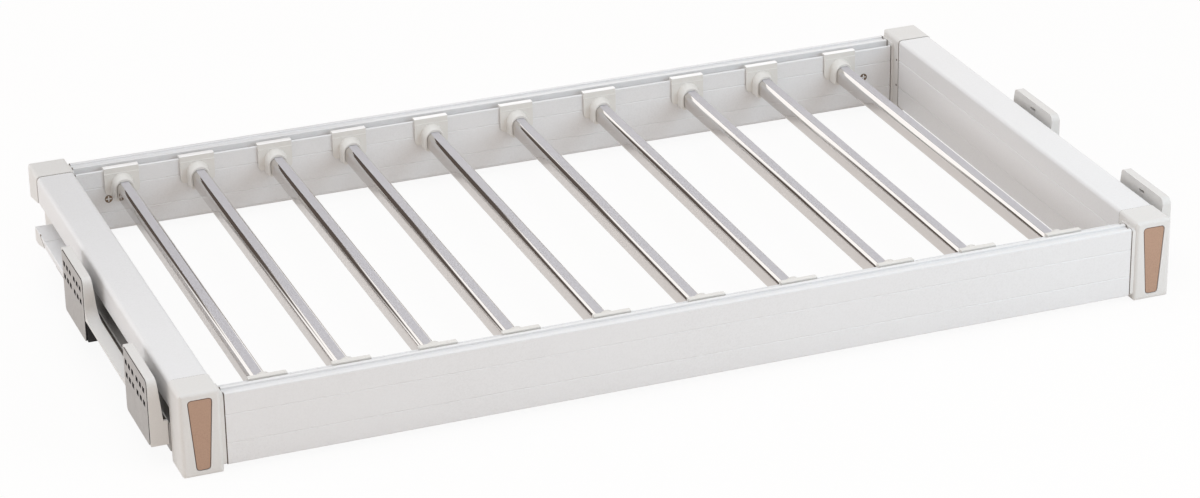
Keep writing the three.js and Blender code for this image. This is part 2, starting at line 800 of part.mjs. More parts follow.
// Side view of a hanger, drawn for the rear: a plate inside the lip and a hook over it into the slot.
function hookCorners() {
  const plateBack = lipInner - seat;
  const legFront = hookSlotInner + seat;
  const underHook = lipTop + seat;
  const legFoot = underHook - hookDrop;
  const stepTop = hookTop - hangerStepDrop;
  return [
    [hangerFace, hangerFoot], [plateBack, hangerFoot], [plateBack, underHook], [legFront, underHook],
    [legFront, legFoot], [legFront + hookThickness, legFoot],
    [legFront + hookThickness, hookTop, hookRadius], [hangerFace + hangerStep, hookTop, hookRadius],
    [hangerFace + hangerStep, stepTop], [hangerFace, stepTop - hangerStep],
  ];
}

// Collar that the bar plugs into: wide where it grows out of the plate, narrow at its rim.
function boss(x, end) {
  const rimHalf = barWidth * half + seat + bossRimWall;
  const rimFoot = barFoot - seat - bossRimWall;
  const rimTop = barTop + stripRise + seat + bossRimCrown + (end < 0 ? frontStopRise : 0);
  const base = rectangle(x - bossFootWidth * half, rimFoot, x + bossFootWidth * half, bossFootTop);
  const rim = rectangle(x - rimHalf, rimFoot, x + rimHalf, rimTop);
  const crown = (corners, radius) => corners.map(([cornerX, cornerZ], index) => (
    [cornerX, cornerZ, index > 1 ? radius : bossRadius, roundSteps]
  ));
  return loftY(
    crown(base, bossFootWidth * half), end * (hangerFace + hangerPlate * half),
    crown(rim, rimHalf), end * (hangerFace - bossLength),
  );
}

function hanger(x, end) {
  const turned = end > 0 ? (corners) => corners : mirrored;
  const left = x - hangerWidth * half;
  const right = x + hangerWidth * half;
  const frontView = [
    [left, hangerFoot, hangerFootRadius], [right, hangerFoot, hangerFootRadius],
    [right, hookTop + overrun], [left, hookTop + overrun],
  ];
  const reach = hookSlotInner + hookSlotWidth;
  const clip = common(
    alongX(turned(hookCorners()), left, right),
    alongY(frontView, end * (hangerFace - overrun), end * reach),
  );
  const socketReach = [end * hangerFace, end * (hangerFace - bossLength - overrun)];
  return cut(
    join(clip, boss(x, end)),
    alongY(inset(barCorners(x), -seat), ...socketReach),
    alongY(inset(stripCorners(x), -seat), ...socketReach),
  );
}

// Assembly

for (const [word, side] of [['left', -1], ['right', 1]]) {
  add(`${word}_rail`, sideRail(side), paint);
  add(`front_${word}_block`, frontBlock(side), plastic);
  add(`rear_${word}_block`, rearBlock(side), plastic);
  add(`front_${word}_inlay`, inlay(side), inlayPlastic);
  const middleBack = slideStandOff - slideStep;
  const cabinetChannel = channelSection(slideStandOff, slideChannelDepth, slideHeight);
  add(`${word}_cabinet_slide`, slideMember(side, cabinetChannel), slideSteel);
  const middleChannel = channelSection(middleBack, middleDepth, middleHeight);
  add(`${word}_middle_slide`, slideMember(side, middleChannel), slideSteel);
  add(`${word}_rack_slide`, slideMember(side, hatSection()), slideSteel);
  add(`${word}_carrier`, carrier(side), carrierSteel);
  add(`${word}_hood`, hood(side), paint);
  add(`${word}_end_cap`, endCap(side), plastic);
  add(`${word}_bracket_cover`, bracketCover(side), plastic);
  add(`${word}_rear_clamp`, rearClamp(side), blackPlastic);
  add(`${word}_front_plate`, steelPlate(side, coverFront), plateSteel);
  add(`${word}_rear_plate`, steelPlate(side, rearTowerFront), plateSteel);
}

add('front_rail', crossRail(-1), paint);
add('rear_rail', crossRail(1), paint);

barPlaceShares.forEach((share, index) => {
  const number = String(index + 1).padStart(2, '0');
  const x = share * frameWidth;
  add(`bar_${number}`, bar(x), chrome);
  add(`front_hanger_${number}`, hanger(x, -1), plastic);
  add(`rear_hanger_${number}`, hanger(x, 1), plastic);
});

export default rack;
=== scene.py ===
# %% [markdown]
# # A pull-out trouser rack
#
# The real object hangs between the two sides of a wardrobe. A painted aluminium frame runs out on two
# telescopic slides, and trousers hang over ten chromed bars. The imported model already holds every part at
# its true size, so this lesson gives each part its final look: soft edges, ribs, screws and finishes.

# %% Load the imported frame
import math

import bmesh
import bpy
from mathutils import Matrix, Vector


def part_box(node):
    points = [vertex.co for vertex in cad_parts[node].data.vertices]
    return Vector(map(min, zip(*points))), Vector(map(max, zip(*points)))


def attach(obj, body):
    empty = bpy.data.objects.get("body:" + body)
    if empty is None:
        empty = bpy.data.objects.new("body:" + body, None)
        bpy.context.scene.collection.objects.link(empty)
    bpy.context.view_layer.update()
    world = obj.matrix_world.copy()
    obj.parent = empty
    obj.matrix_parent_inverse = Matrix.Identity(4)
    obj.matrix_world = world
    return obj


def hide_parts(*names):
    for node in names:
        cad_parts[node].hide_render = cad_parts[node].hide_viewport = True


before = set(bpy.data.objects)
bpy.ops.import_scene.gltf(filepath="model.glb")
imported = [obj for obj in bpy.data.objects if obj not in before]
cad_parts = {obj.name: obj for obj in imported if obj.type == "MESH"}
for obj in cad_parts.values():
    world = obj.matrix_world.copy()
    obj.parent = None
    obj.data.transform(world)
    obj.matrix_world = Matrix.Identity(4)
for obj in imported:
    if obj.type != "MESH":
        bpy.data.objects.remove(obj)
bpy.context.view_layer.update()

# %% [markdown]
# ## Working in millimetres
#
# Blender counts in metres, while a maker thinks in millimetres. A small factor keeps the numbers readable.
# The rack is the same on its left and its right side, so many steps run once for each side.

# %% Millimetres
MM = 0.001
BAR_COUNT = 10
SIDES = {"left": -1, "right": 1}   # each side of the rack, and which way is out on the X axis


def mm(*values):
    """Turn millimetres into a vector in metres."""
    return Vector(values) * MM


print("bars:", BAR_COUNT)

# %% [markdown]
# ## The camera
#
# The photograph was taken from the left front, about three metres away, with a long lens. The place and
# the lens were worked out from the frame's corners, so the render can be laid over the photograph.

# %% Place the camera
CAMERA_PLACE = (-1.0001, -2.6458, 1.2950)
CAMERA_TURN = (1.1459, 0.0142, -0.3714)
CAMERA_REACH = 50
camera_data = bpy.data.cameras.new("photo_camera")
camera_data.sensor_width = 36
camera_data.lens = 111.58
camera_data.clip_end = CAMERA_REACH
camera = bpy.data.objects.new("photo_camera", camera_data)
bpy.context.scene.collection.objects.link(camera)
camera.location = CAMERA_PLACE
camera.rotation_euler = CAMERA_TURN
bpy.context.scene.camera = camera
bpy.context.scene.view_settings.view_transform = "Standard"
print("camera at", [round(v, 3) for v in camera.location])

# %% [markdown]
# ## Node helpers
#
# Finishes, floor and sky are small node trees. Three helpers keep them short: one adds a node and sets its
# inputs, one adds a maths node, and one joins two sockets.

# %% Helpers for single nodes
def add_node(tree, kind, **inputs):
    """Add a node of a kind and set inputs by name, with _ for a space."""
    node = tree.nodes.new(kind)
    for name, value in inputs.items():
        node.inputs[name.replace("_", " ")].default_value = value
    return node


def add_math(tree, operation, *values):
    """Add a maths node. The values go to its inputs in order, and None leaves one free for a link."""
    node = tree.nodes.new("ShaderNodeMath")
    node.operation = operation
    for socket, value in zip(node.inputs, values):
        if value is not None:
            socket.default_value = value
    return node


def connect(source, target):
    """Join two sockets of the same tree."""
    source.id_data.links.new(source, target)


print("node helpers ready")

# %% [markdown]
# ## Helpers for whole trees
#
# Some steps come back in every tree. A shader group is placed, two shaders are mixed, a material or the
# world starts with an empty tree, and a new group starts with its named inputs and outputs.

# %% Helpers for groups and shaders
def place_group(tree, group, **inputs):
    """Place a shader group in a tree and set its inputs by name, with _ for a space."""
    node = tree.nodes.new("ShaderNodeGroup")
    node.node_tree = group
    for name, value in inputs.items():
        node.inputs[name.replace("_", " ")].default_value = value
    return node


def mix_shaders(tree, share, first, second):
    """Mix two shaders by a share. All three are output sockets, and so is the result."""
    mix = tree.nodes.new("ShaderNodeMixShader")
    connect(share, mix.inputs["Fac"])
    connect(first, mix.inputs[1])
    connect(second, mix.inputs[2])
    return mix.outputs["Shader"]


def start_tree(owner, end_kind):
    """Empty the node tree of a material or a world, and return it with a new output node."""
    owner.use_nodes = True
    owner.node_tree.nodes.clear()
    return owner.node_tree, owner.node_tree.nodes.new(end_kind)


def start_group(name, inputs, outputs):
    """Start a shader group. Inputs are (name, kind, value), outputs are (name, kind)."""
    group = bpy.data.node_groups.new(name, "ShaderNodeTree")
    for socket_name, kind, value in inputs:
        socket = group.interface.new_socket(socket_name, in_out="INPUT", socket_type=kind)
        socket.default_value = value
    for socket_name, kind in outputs:
        group.interface.new_socket(socket_name, in_out="OUTPUT", socket_type=kind)
    return group, group.nodes.new("NodeGroupInput"), group.nodes.new("NodeGroupOutput")


print("tree helpers ready")

# %% [markdown]
# ## Fine grain
#
# The paint on the aluminium and the skin of the mouldings both have a fine, dry grain. It is the same
# effect at different scales, so it is built once as a group: two noises at different sizes give a height
# for the bump and a faint mottling of the colour.

# %% Group: fine grain
grain_group, grain_in, grain_out = start_group(
    "fine_grain",
    [("Color", "NodeSocketColor", (0.8, 0.8, 0.8, 1)), ("Fleck Color", "NodeSocketColor", (0.7, 0.7, 0.7, 1)),
     ("Scale", "NodeSocketFloat", 1500.0), ("Amount", "NodeSocketFloat", 0.2)],
    [("Color", "NodeSocketColor"), ("Height", "NodeSocketFloat")],
)
grain_place = add_node(grain_group, "ShaderNodeTexCoord")
grain_fine = add_node(grain_group, "ShaderNodeTexNoise", Detail=3.0, Roughness=0.6)
grain_cloud = add_node(grain_group, "ShaderNodeTexNoise", Scale=14.0, Detail=2.0)
grain_fleck = add_node(grain_group, "ShaderNodeMapRange", From_Min=0.42, From_Max=0.72)
grain_share = add_math(grain_group, "MULTIPLY")
grain_shift = add_node(grain_group, "ShaderNodeMapRange", From_Min=0.3, From_Max=0.7, To_Min=0.4, To_Max=1.0)
grain_both = add_math(grain_group, "MULTIPLY")
grain_mix = grain_group.nodes.new("ShaderNodeMix")
grain_mix.data_type = "RGBA"
connect(grain_place.outputs["Object"], grain_fine.inputs["Vector"])
connect(grain_place.outputs["Object"], grain_cloud.inputs["Vector"])
connect(grain_in.outputs["Scale"], grain_fine.inputs["Scale"])
connect(grain_fine.outputs["Fac"], grain_fleck.inputs["Value"])
connect(grain_fleck.outputs["Result"], grain_share.inputs[0])
connect(grain_in.outputs["Amount"], grain_share.inputs[1])
connect(grain_cloud.outputs["Fac"], grain_shift.inputs["Value"])
connect(grain_share.outputs["Value"], grain_both.inputs[0])
connect(grain_shift.outputs["Result"], grain_both.inputs[1])
connect(grain_both.outputs["Value"], grain_mix.inputs["Factor"])
connect(grain_in.outputs["Color"], grain_mix.inputs["A"])
connect(grain_in.outputs["Fleck Color"], grain_mix.inputs["B"])
connect(grain_mix.outputs["Result"], grain_out.inputs["Color"])
connect(grain_fine.outputs["Fac"], grain_out.inputs["Height"])
print("group:", grain_group.name)

# %% [markdown]
# ## Handling marks
#
# No surface is equally glossy all over. A broad, soft noise spreads the roughness a little, which breaks
# up reflections on the chrome and the steel in the way that fingers and packing do.

# %% Group: handling marks
marks_group, marks_in, marks_out = start_group(
    "handling_marks",
    [("Roughness", "NodeSocketFloat", 0.4), ("Spread", "NodeSocketFloat", 0.1),
     ("Scale", "NodeSocketFloat", 20.0)],
    [("Roughness", "NodeSocketFloat")],
)
marks_place = add_node(marks_group, "ShaderNodeTexCoord")
marks_noise = add_node(marks_group, "ShaderNodeTexNoise", Detail=4.0, Roughness=0.55)
marks_centre = add_node(marks_group, "ShaderNodeMapRange", From_Min=0.25, From_Max=0.75, To_Min=-1.0, To_Max=1.0)
marks_sum = add_math(marks_group, "MULTIPLY_ADD")
connect(marks_place.outputs["Object"], marks_noise.inputs["Vector"])
connect(marks_in.outputs["Scale"], marks_noise.inputs["Scale"])
connect(marks_noise.outputs["Fac"], marks_centre.inputs["Value"])
connect(marks_centre.outputs["Result"], marks_sum.inputs[0])
connect(marks_in.outputs["Spread"], marks_sum.inputs[1])
connect(marks_in.outputs["Roughness"], marks_sum.inputs[2])
connect(marks_sum.outputs["Value"], marks_out.inputs["Roughness"])
print("group:", marks_group.name)

# %% [markdown]
# ## Drawn lines
#
# Metal that is drawn or rolled keeps very fine lines along one direction. A noise that is stretched along
# that direction gives them. The group takes how often the lines repeat along X, Y and Z.

# %% Group: drawn lines
lines_group, lines_in, lines_out = start_group(
    "drawn_lines",
    [("Repeat", "NodeSocketVector", (2.0, 900.0, 900.0))],
    [("Height", "NodeSocketFloat")],
)
lines_place = add_node(lines_group, "ShaderNodeTexCoord")
lines_stretch = lines_group.nodes.new("ShaderNodeVectorMath")
lines_stretch.operation = "MULTIPLY"
lines_noise = add_node(lines_group, "ShaderNodeTexNoise", Scale=1.0, Detail=2.0)
connect(lines_place.outputs["Object"], lines_stretch.inputs[0])
connect(lines_in.outputs["Repeat"], lines_stretch.inputs[1])
connect(lines_stretch.outputs["Vector"], lines_noise.inputs["Vector"])
connect(lines_noise.outputs["Fac"], lines_out.inputs["Height"])
print("group:", lines_group.name)

# %% [markdown]
# ## Slow waves
#
# A rolled tube is never quite straight or even. Long, very shallow waves tilt its mirror finish by a degree
# or two, so that the dark line of a reflection swells and tapers along the bar. The group gives the height
# of the waves in metres.

# %% Group: slow waves
waves_group, waves_in, waves_out = start_group(
    "slow_waves",
    [("Repeat", "NodeSocketVector", (9.0, 3.0, 9.0)), ("Depth", "NodeSocketFloat", 0.001)],
    [("Height", "NodeSocketFloat")],
)
waves_place = add_node(waves_group, "ShaderNodeTexCoord")
waves_stretch = waves_group.nodes.new("ShaderNodeVectorMath")
waves_stretch.operation = "MULTIPLY"
waves_noise = add_node(waves_group, "ShaderNodeTexNoise", Scale=1.0, Detail=1.0)
waves_depth = add_math(waves_group, "MULTIPLY")
connect(waves_place.outputs["Object"], waves_stretch.inputs[0])
connect(waves_in.outputs["Repeat"], waves_stretch.inputs[1])
connect(waves_stretch.outputs["Vector"], waves_noise.inputs["Vector"])
connect(waves_noise.outputs["Fac"], waves_depth.inputs[0])
connect(waves_in.outputs["Depth"], waves_depth.inputs[1])
connect(waves_depth.outputs["Value"], waves_out.inputs["Height"])
print("group:", waves_group.name)

# %% [markdown]
# ## One recipe for the finishes
#
# All finishes share a layout: grain for colour and height, handling marks for roughness, and a bump. Only
# the values differ, so one function builds the tree. Values that are the same all over the surface, such
# as the coat, are set on the shader itself. Drawn lines take the place of the grain's height on drawn metal,
# and slow waves come on top of them on the chrome.

# %% Build a finish
COAT_ROUGHNESS = 0.25


def make_finish(name, color, fleck, scale, amount, roughness, spread, bump,
                metallic=0, coat=0, lines=None, waves=0):
    """A finish from the shared groups. bump and waves are depths, lines is how often drawn lines repeat."""
    material = bpy.data.materials.new(name)
    material.use_nodes = True
    tree = material.node_tree
    shader = tree.nodes["Principled BSDF"]
    shader.inputs["Metallic"].default_value = metallic
    shader.inputs["Coat Weight"].default_value = coat
    shader.inputs["Coat Roughness"].default_value = COAT_ROUGHNESS
    grain = place_group(tree, grain_group, Color=(*color, 1), Fleck_Color=(*fleck, 1), Scale=scale, Amount=amount)
    marks = place_group(tree, marks_group, Roughness=roughness, Spread=spread)
    connect(grain.outputs["Color"], shader.inputs["Base Color"])
    connect(marks.outputs["Roughness"], shader.inputs["Roughness"])
    height = grain.outputs["Height"]
    if lines:
        height = place_group(tree, lines_group, Repeat=lines).outputs["Height"]
    depth = add_math(tree, "MULTIPLY", None, bump)
    connect(height, depth.inputs[0])
    height = depth.outputs["Value"]
    if waves:
        swell = place_group(tree, waves_group, Depth=waves)
        total = add_math(tree, "ADD")
        connect(height, total.inputs[0])
        connect(swell.outputs["Height"], total.inputs[1])
        height = total.outputs["Value"]
    relief = add_node(tree, "ShaderNodeBump", Strength=1.0, Distance=1.0)
    connect(height, relief.inputs["Height"])
    connect(relief.outputs["Normal"], shader.inputs["Normal"])
    return material


print("finish recipe ready")

# %% [markdown]
# ## The finishes
#
# The frame has a pearl white powder paint, and the mouldings are a warmer white. The inlays are a satin tan,
# with a darker rim painted on as the shade of their recess. The finishes differ in their colours and in how
# rough they are, while the depth of the grain stays at about a hundredth of a millimetre.

# %% Make the paint and the mouldings
pearl_paint = make_finish(
    "pearl_paint", color=(0.755, 0.75, 0.75), fleck=(0.66, 0.65, 0.645),
    scale=700, amount=0.45, roughness=0.42, spread=0.04, bump=0.012 * MM,
    metallic=0.05, coat=0.16,
)
warm_moulding = make_finish(
    "warm_moulding", color=(0.705, 0.69, 0.668), fleck=(0.62, 0.602, 0.577),
    scale=800, amount=0.4, roughness=0.46, spread=0.04, bump=0.012 * MM,
)
tan_satin = make_finish(
    "tan_satin", color=(0.43, 0.27, 0.187), fleck=(0.33, 0.2, 0.135),
    scale=800, amount=0.7, roughness=0.36, spread=0.05, bump=0.02 * MM,
    coat=0.15,
)
# Dark brown painted on the inlays' rims as the shade of their recess.
inlay_rim_shade = make_finish(
    "inlay_rim_shade", color=(0.17, 0.1, 0.07), fleck=(0.12, 0.07, 0.05),
    scale=800, amount=0.3, roughness=0.5, spread=0.05, bump=0.01 * MM,
)
print("finishes:", len(bpy.data.materials))

# %% [markdown]
# ## Metal, rubber and dark joints
#
# The plates are dull zinc, the slides a brighter one, and their carriers dark steel. The bars are chrome,
# with slow waves that bend the reflections a little. The hangers are a satin white; the crown of a rear hook
# is painted paler, as a painted highlight of the light from above. The strips on the bars are grey rubber,
# clamps and adjusters black, and the screws dull steel. The same black is painted on the plates' edges as
# painted shade in their recess. Faces that meet in a joint are painted dark brown as painted shade of the
# gap, so that the joint reads as a fine line, and the pins' heads use the same brown.

# %% Make the metals and the small parts' finishes
dull_zinc = make_finish(
    "dull_zinc", color=(0.45, 0.43, 0.415), fleck=(0.33, 0.315, 0.3),
    scale=260, amount=0.5, roughness=0.38, spread=0.08, bump=0.02 * MM,
    metallic=0.85,
)
bright_zinc = make_finish(
    "bright_zinc", color=(0.44, 0.425, 0.41), fleck=(0.33, 0.32, 0.31),
    scale=500, amount=0.4, roughness=0.34, spread=0.06, bump=0.01 * MM,
    metallic=0.85, lines=(900, 3, 900),
)
dark_steel = make_finish(
    "dark_steel", color=(0.14, 0.11, 0.09), fleck=(0.09, 0.072, 0.06),
    scale=500, amount=0.4, roughness=0.4, spread=0.06, bump=0.01 * MM,
    metallic=0.4, lines=(900, 3, 900),
)
chrome = make_finish(
    "chrome", color=(0.705, 0.68, 0.665), fleck=(0.66, 0.64, 0.625),
    scale=60, amount=0.3, roughness=0.07, spread=0.03, bump=0.004 * MM,
    metallic=1, lines=(1200, 4, 1200), waves=2 * MM,
)
hanger_moulding = make_finish(
    "hanger_moulding", color=(0.72, 0.7, 0.665), fleck=(0.65, 0.625, 0.59),
    scale=1400, amount=0.25, roughness=0.44, spread=0.04, bump=0.03 * MM,
)
# A pale colour painted on the crowns of the rear hooks, as a painted highlight.
crown_painted_highlight = make_finish(
    "crown_painted_highlight", color=(0.92, 0.905, 0.89), fleck=(0.85, 0.84, 0.83),
    scale=1400, amount=0.25, roughness=0.36, spread=0.04, bump=0.01 * MM,
    coat=0.25,
)
grey_rubber = make_finish(
    "grey_rubber", color=(0.545, 0.53, 0.55), fleck=(0.44, 0.43, 0.45),
    scale=2200, amount=0.4, roughness=0.5, spread=0.05, bump=0.02 * MM,
)
# Black plastic of the clamps and adjusters, also painted on the plates' edges as painted shade.
black_and_edge_shade = make_finish(
    "black_and_edge_shade", color=(0.016, 0.014, 0.014), fleck=(0.03, 0.028, 0.028),
    scale=1200, amount=0.4, roughness=0.5, spread=0.06, bump=0.03 * MM,
)
# Dark brown painted at joints and seams as the shade in the gap, also used for the pins' heads.
pin_brown_and_gap_shade = make_finish(
    "pin_brown_and_gap_shade", color=(0.11, 0.075, 0.052), fleck=(0.07, 0.05, 0.035),
    scale=900, amount=0.3, roughness=0.6, spread=0.05, bump=0.01 * MM,
)
screw_steel = make_finish(
    "screw_steel", color=(0.2, 0.15, 0.11), fleck=(0.1, 0.07, 0.05),
    scale=900, amount=0.5, roughness=0.35, spread=0.08, bump=0.01 * MM,
    metallic=0.9,
)
print("finishes:", len(bpy.data.materials))

# %% [markdown]
# ## Selecting in code
#
# Blender's modelling operators act on what is selected. Loading the frame leaves its nodes selected, so
# each piece starts with a clean selection. Faces and edges are then picked by a test on their place or
# direction, as a modeller would click on them.

# %% Helpers for selection and edit mode
def select_only(piece):
    bpy.ops.object.select_all(action="DESELECT")
    piece.select_set(True)
    bpy.context.view_layer.objects.active = piece


def enter_edit(piece, mode):
    select_only(piece)
    bpy.ops.object.mode_set(mode="EDIT")
    bpy.ops.mesh.select_mode(type=mode)
    bpy.ops.mesh.select_all(action="DESELECT")


def leave_edit():
    bpy.ops.object.mode_set(mode="OBJECT")


def pick_edges(piece, test):
    """Select the edges whose two ends pass the test."""
    mesh = bmesh.from_edit_mesh(piece.data)
    for edge in mesh.edges:
        edge.select_set(test(edge.verts[0].co, edge.verts[1].co))
    bmesh.update_edit_mesh(piece.data)


def pick_faces(piece, test):
    """Select the faces whose centre and normal pass the test."""
    mesh = bmesh.from_edit_mesh(piece.data)
    for face in mesh.faces:
        face.select_set(test(face.calc_center_median(), face.normal))
    bmesh.update_edit_mesh(piece.data)


SAME_PLACE = 0.02 * MM
FACING = 0.9   # a face belongs to a side when its normal points there at least this much


def same(a, b):
    return abs(a - b) < SAME_PLACE


def round_edges_at(piece, height, radius, segments):
    """Round the edges at a height that run along Y. The piece is in edit mode for edges."""
    pick_edges(piece, lambda a, b: same(a.z, height) and same(b.z, height) and same(a.x, b.x))
    bpy.ops.mesh.bevel(offset=radius, segments=segments, affect="EDGES")


print("selection helpers ready")

# %% [markdown]
# ## Starting a piece
#
# A piece starts as a primitive at its true size and place. The size goes into the mesh at once, so that
# every later offset is a true length.

# %% Helpers that start a piece
QUARTER_TURN = math.radians(90)


def applied():
    """Apply the place, turn and size of the primitive that was just added, and return it."""
    bpy.ops.object.transform_apply(location=True, rotation=True, scale=True)
    return bpy.context.object


def add_block(centre, size):
    bpy.ops.object.select_all(action="DESELECT")
    bpy.ops.mesh.primitive_cube_add(size=1, location=centre)
    bpy.context.object.scale = size
    return applied()


def add_disc(centre, radius, depth, sides, turn):
    bpy.ops.object.select_all(action="DESELECT")
    bpy.ops.mesh.primitive_cylinder_add(vertices=sides, radius=radius, depth=depth,
                                        location=centre, rotation=turn)
    return applied()


print("starting helpers ready")

# %% [markdown]
# ## Finishing a piece
#
# Modifiers are applied so that the mesh itself holds the shape. The shading is smooth across gentle
# angles and crisp across sharp ones, and each piece gets its finish, its body and its material slot.

# %% Helpers that finish a piece
def apply_modifier(piece, kind, **settings):
    select_only(piece)
    modifier = piece.modifiers.new(kind.title(), kind)
    for name, value in settings.items():
        setattr(modifier, name, value)
    bpy.ops.object.modifier_apply(modifier=modifier.name)


SHARP_ANGLE = math.radians(35)


def shade(piece):
    """Smooth shading in which the large flat faces keep their own direction."""
    select_only(piece)
    bpy.ops.object.shade_smooth_by_angle(angle=SHARP_ANGLE)
    apply_modifier(piece, "WEIGHTED_NORMAL", mode="FACE_AREA", weight=50, keep_sharp=True)


def soften(piece, width):
    """Round every sharp edge, and shade the piece smoothly."""
    apply_modifier(piece, "BEVEL", width=width, segments=2, limit_method="ANGLE",
                   angle_limit=SHARP_ANGLE, harden_normals=False)
    shade(piece)


def dress(piece, name, finish, body, replaced=()):
    piece.name = name
    piece.data.name = name
    piece.data.materials.clear()
    piece.data.materials.append(finish)
    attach(piece, body)
    if replaced:
        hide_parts(*replaced)
    return piece


def triangles(piece):
    return sum(len(polygon.vertices) - 2 for polygon in piece.data.polygons)


print("finishing helpers ready")

# %% [markdown]
# ## Softened copies of the frame's parts
#
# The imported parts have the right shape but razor-sharp edges. A real extrusion or moulding has a small
# radius everywhere, and that radius is what catches the light. A copy of the node is merged into one
# closed mesh, its flat facets are joined, and a fine bevel goes round its edges.

# %% Copy a node and soften it
MERGE_DISTANCE = 0.002 * MM
FLAT_ANGLE = math.radians(0.5)


def softened_node(node, width, finish, body, cuts=()):
    """A copy of a CAD node with soft edges. cuts are planes that divide its faces, as (point, normal)."""
    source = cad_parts[node]
    piece = bpy.data.objects.new(node + "_soft", source.data.copy())
    bpy.context.scene.collection.objects.link(piece)
    enter_edit(piece, "FACE")
    bpy.ops.mesh.select_all(action="SELECT")
    bpy.ops.mesh.remove_doubles(threshold=MERGE_DISTANCE)
    bpy.ops.mesh.dissolve_limited(angle_limit=FLAT_ANGLE)
    for point, normal in cuts:
        bpy.ops.mesh.select_all(action="SELECT")
        bpy.ops.mesh.bisect(plane_co=point, plane_no=normal)
    leave_edit()
    soften(piece, width)
    return dress(piece, node + "_soft", finish, body, [node])


print("copying helper ready")

# %% [markdown]
# ## Where lines will be drawn
#
# Two kinds of dark line, painted shade of a narrow gap, are drawn on the copies later. A rail gets a dark
# ring at each end, where it meets a corner block. The end cap of a hood gets a slanted seam on its outer side.
# Both need faces of their own, so the copies are cut by planes before their edges are softened.

# %% Planes for the joints and the seam
RUNNERS = "cabinet_runners"
LINE = 0.6 * MM
SEAM_HALF = 0.55 * MM
SEAM_FROM_END = 23 * MM
SEAM_ACROSS, SEAM_DOWN = 6.4, 17
cap_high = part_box("left_end_cap")[1]
SEAM_NORMAL = Vector((0, SEAM_ACROSS, -SEAM_DOWN)).normalized()
SEAM_PLACE = Vector((0, cap_high.y - SEAM_FROM_END, cap_high.z))
seam_cuts = [(SEAM_PLACE + SEAM_NORMAL * offset, SEAM_NORMAL) for offset in (-SEAM_HALF, SEAM_HALF)]


def end_cuts(node, axis):
    """Planes that cut a thin ring off both ends of a rail. axis is 0 for X and 1 for Y."""
    low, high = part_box(node)
    along = Vector((0, 0, 0))
    along[axis] = 1
    return [(along * (low[axis] + LINE), along), (along * (high[axis] - LINE), along)]


print("cutting planes ready")

# %% [markdown]
# ## The radius of each edge
#
# The corner blocks are the softest parts in the photograph. Extrusions, folded sheet and the thinner
# mouldings have a radius of about a third of a millimetre.

# %% Soften the frame and the runners
RAIL_EDGE = 0.35 * MM
CROSS_RAIL_EDGE = 0.3 * MM
BLOCK_EDGE = 0.9 * MM
MOULDING_EDGE = 0.35 * MM
SHEET_EDGE = 0.3 * MM
CARRIER_EDGE = 0.25 * MM
CLAMP_EDGE = 0.4 * MM
softened = []
for side in SIDES:
    rail = f"{side}_rail"
    softened += [
        softened_node(rail, RAIL_EDGE, pearl_paint, "rack", end_cuts(rail, 1)),
        softened_node(f"front_{side}_block", BLOCK_EDGE, warm_moulding, "rack"),
        softened_node(f"rear_{side}_block", BLOCK_EDGE, warm_moulding, "rack"),
        softened_node(f"{side}_bracket_cover", MOULDING_EDGE, warm_moulding, RUNNERS),
        softened_node(f"{side}_hood", SHEET_EDGE, pearl_paint, RUNNERS),
        softened_node(f"{side}_end_cap", MOULDING_EDGE, warm_moulding, RUNNERS, seam_cuts),
        softened_node(f"{side}_carrier", CARRIER_EDGE, dark_steel, RUNNERS),
        softened_node(f"{side}_rear_clamp", CLAMP_EDGE, black_and_edge_shade, RUNNERS),
        softened_node(f"{side}_front_plate", SHEET_EDGE, dull_zinc, RUNNERS),
        softened_node(f"{side}_rear_plate", SHEET_EDGE, dull_zinc, RUNNERS),
    ]
for rail in ("front_rail", "rear_rail"):
    softened.append(softened_node(rail, CROSS_RAIL_EDGE, pearl_paint, "rack", end_cuts(rail, 0)))
print("softened parts:", len(softened), "triangles:", sum(triangles(piece) for piece in softened))

# %% [markdown]
# ## Dark joints
#
# Where a rail butts against a corner block, and where a steel plate lies in its recess, light hardly
# reaches into the gap. The ends of the rails and the edges of the plates take a dark finish, so that each
# joint reads as a fine line. The faces are picked by their direction and place.

# %% Darken the joints and the plates' edges
def repaint(name, finish, test):
    """Give the faces of a piece that pass the test another finish. Returns how many there are."""
    piece = bpy.data.objects[name]
    piece.data.materials.append(finish)
    slot = len(piece.data.materials) - 1
    painted = [face for face in piece.data.polygons if test(face.center, face.normal)]
    for face in painted:
        face.material_index = slot
    return len(painted)


PLATE_SIDE = 0.95    # a face that is turned further out is the flat of a plate
PLATE_UNDER = -0.6   # a face that is turned further down is its lower edge, which catches light
darkened = 0
for side in SIDES:
    low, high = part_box(f"{side}_rail")
    # The rail's ends are painted dark brown as painted shade of the joint.
    darkened += repaint(f"{side}_rail_soft", pin_brown_and_gap_shade,
                        lambda centre, normal: centre.y < low.y + LINE or centre.y > high.y - LINE)
    for place in ("front", "rear"):
        # The plate's edges, all but the lower one, are painted black as painted shade of the gap round it.
        darkened += repaint(f"{side}_{place}_plate_soft", black_and_edge_shade,
                            lambda centre, normal: abs(normal.x) < PLATE_SIDE and normal.z > PLATE_UNDER)
for end in ("front", "rear"):
    low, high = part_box(f"{end}_rail")
    darkened += repaint(f"{end}_rail_soft", pin_brown_and_gap_shade,
                        lambda centre, normal: centre.x < low.x + LINE or centre.x > high.x - LINE)
print("dark faces:", darkened)

# %% [markdown]
# ## The seam of the end cap
#
# The moulded cap fills the rear end of the hood. The hood's top runs on over it, and on the outer side a
# slanted seam divides the two. The planes that cut the cap's faces have already drawn the seam, which is
# painted dark brown as the shade in its crack.

# %% Paint the hood's share of the end caps
FACING_UP = 0.5
FACING_OUT = 0.2


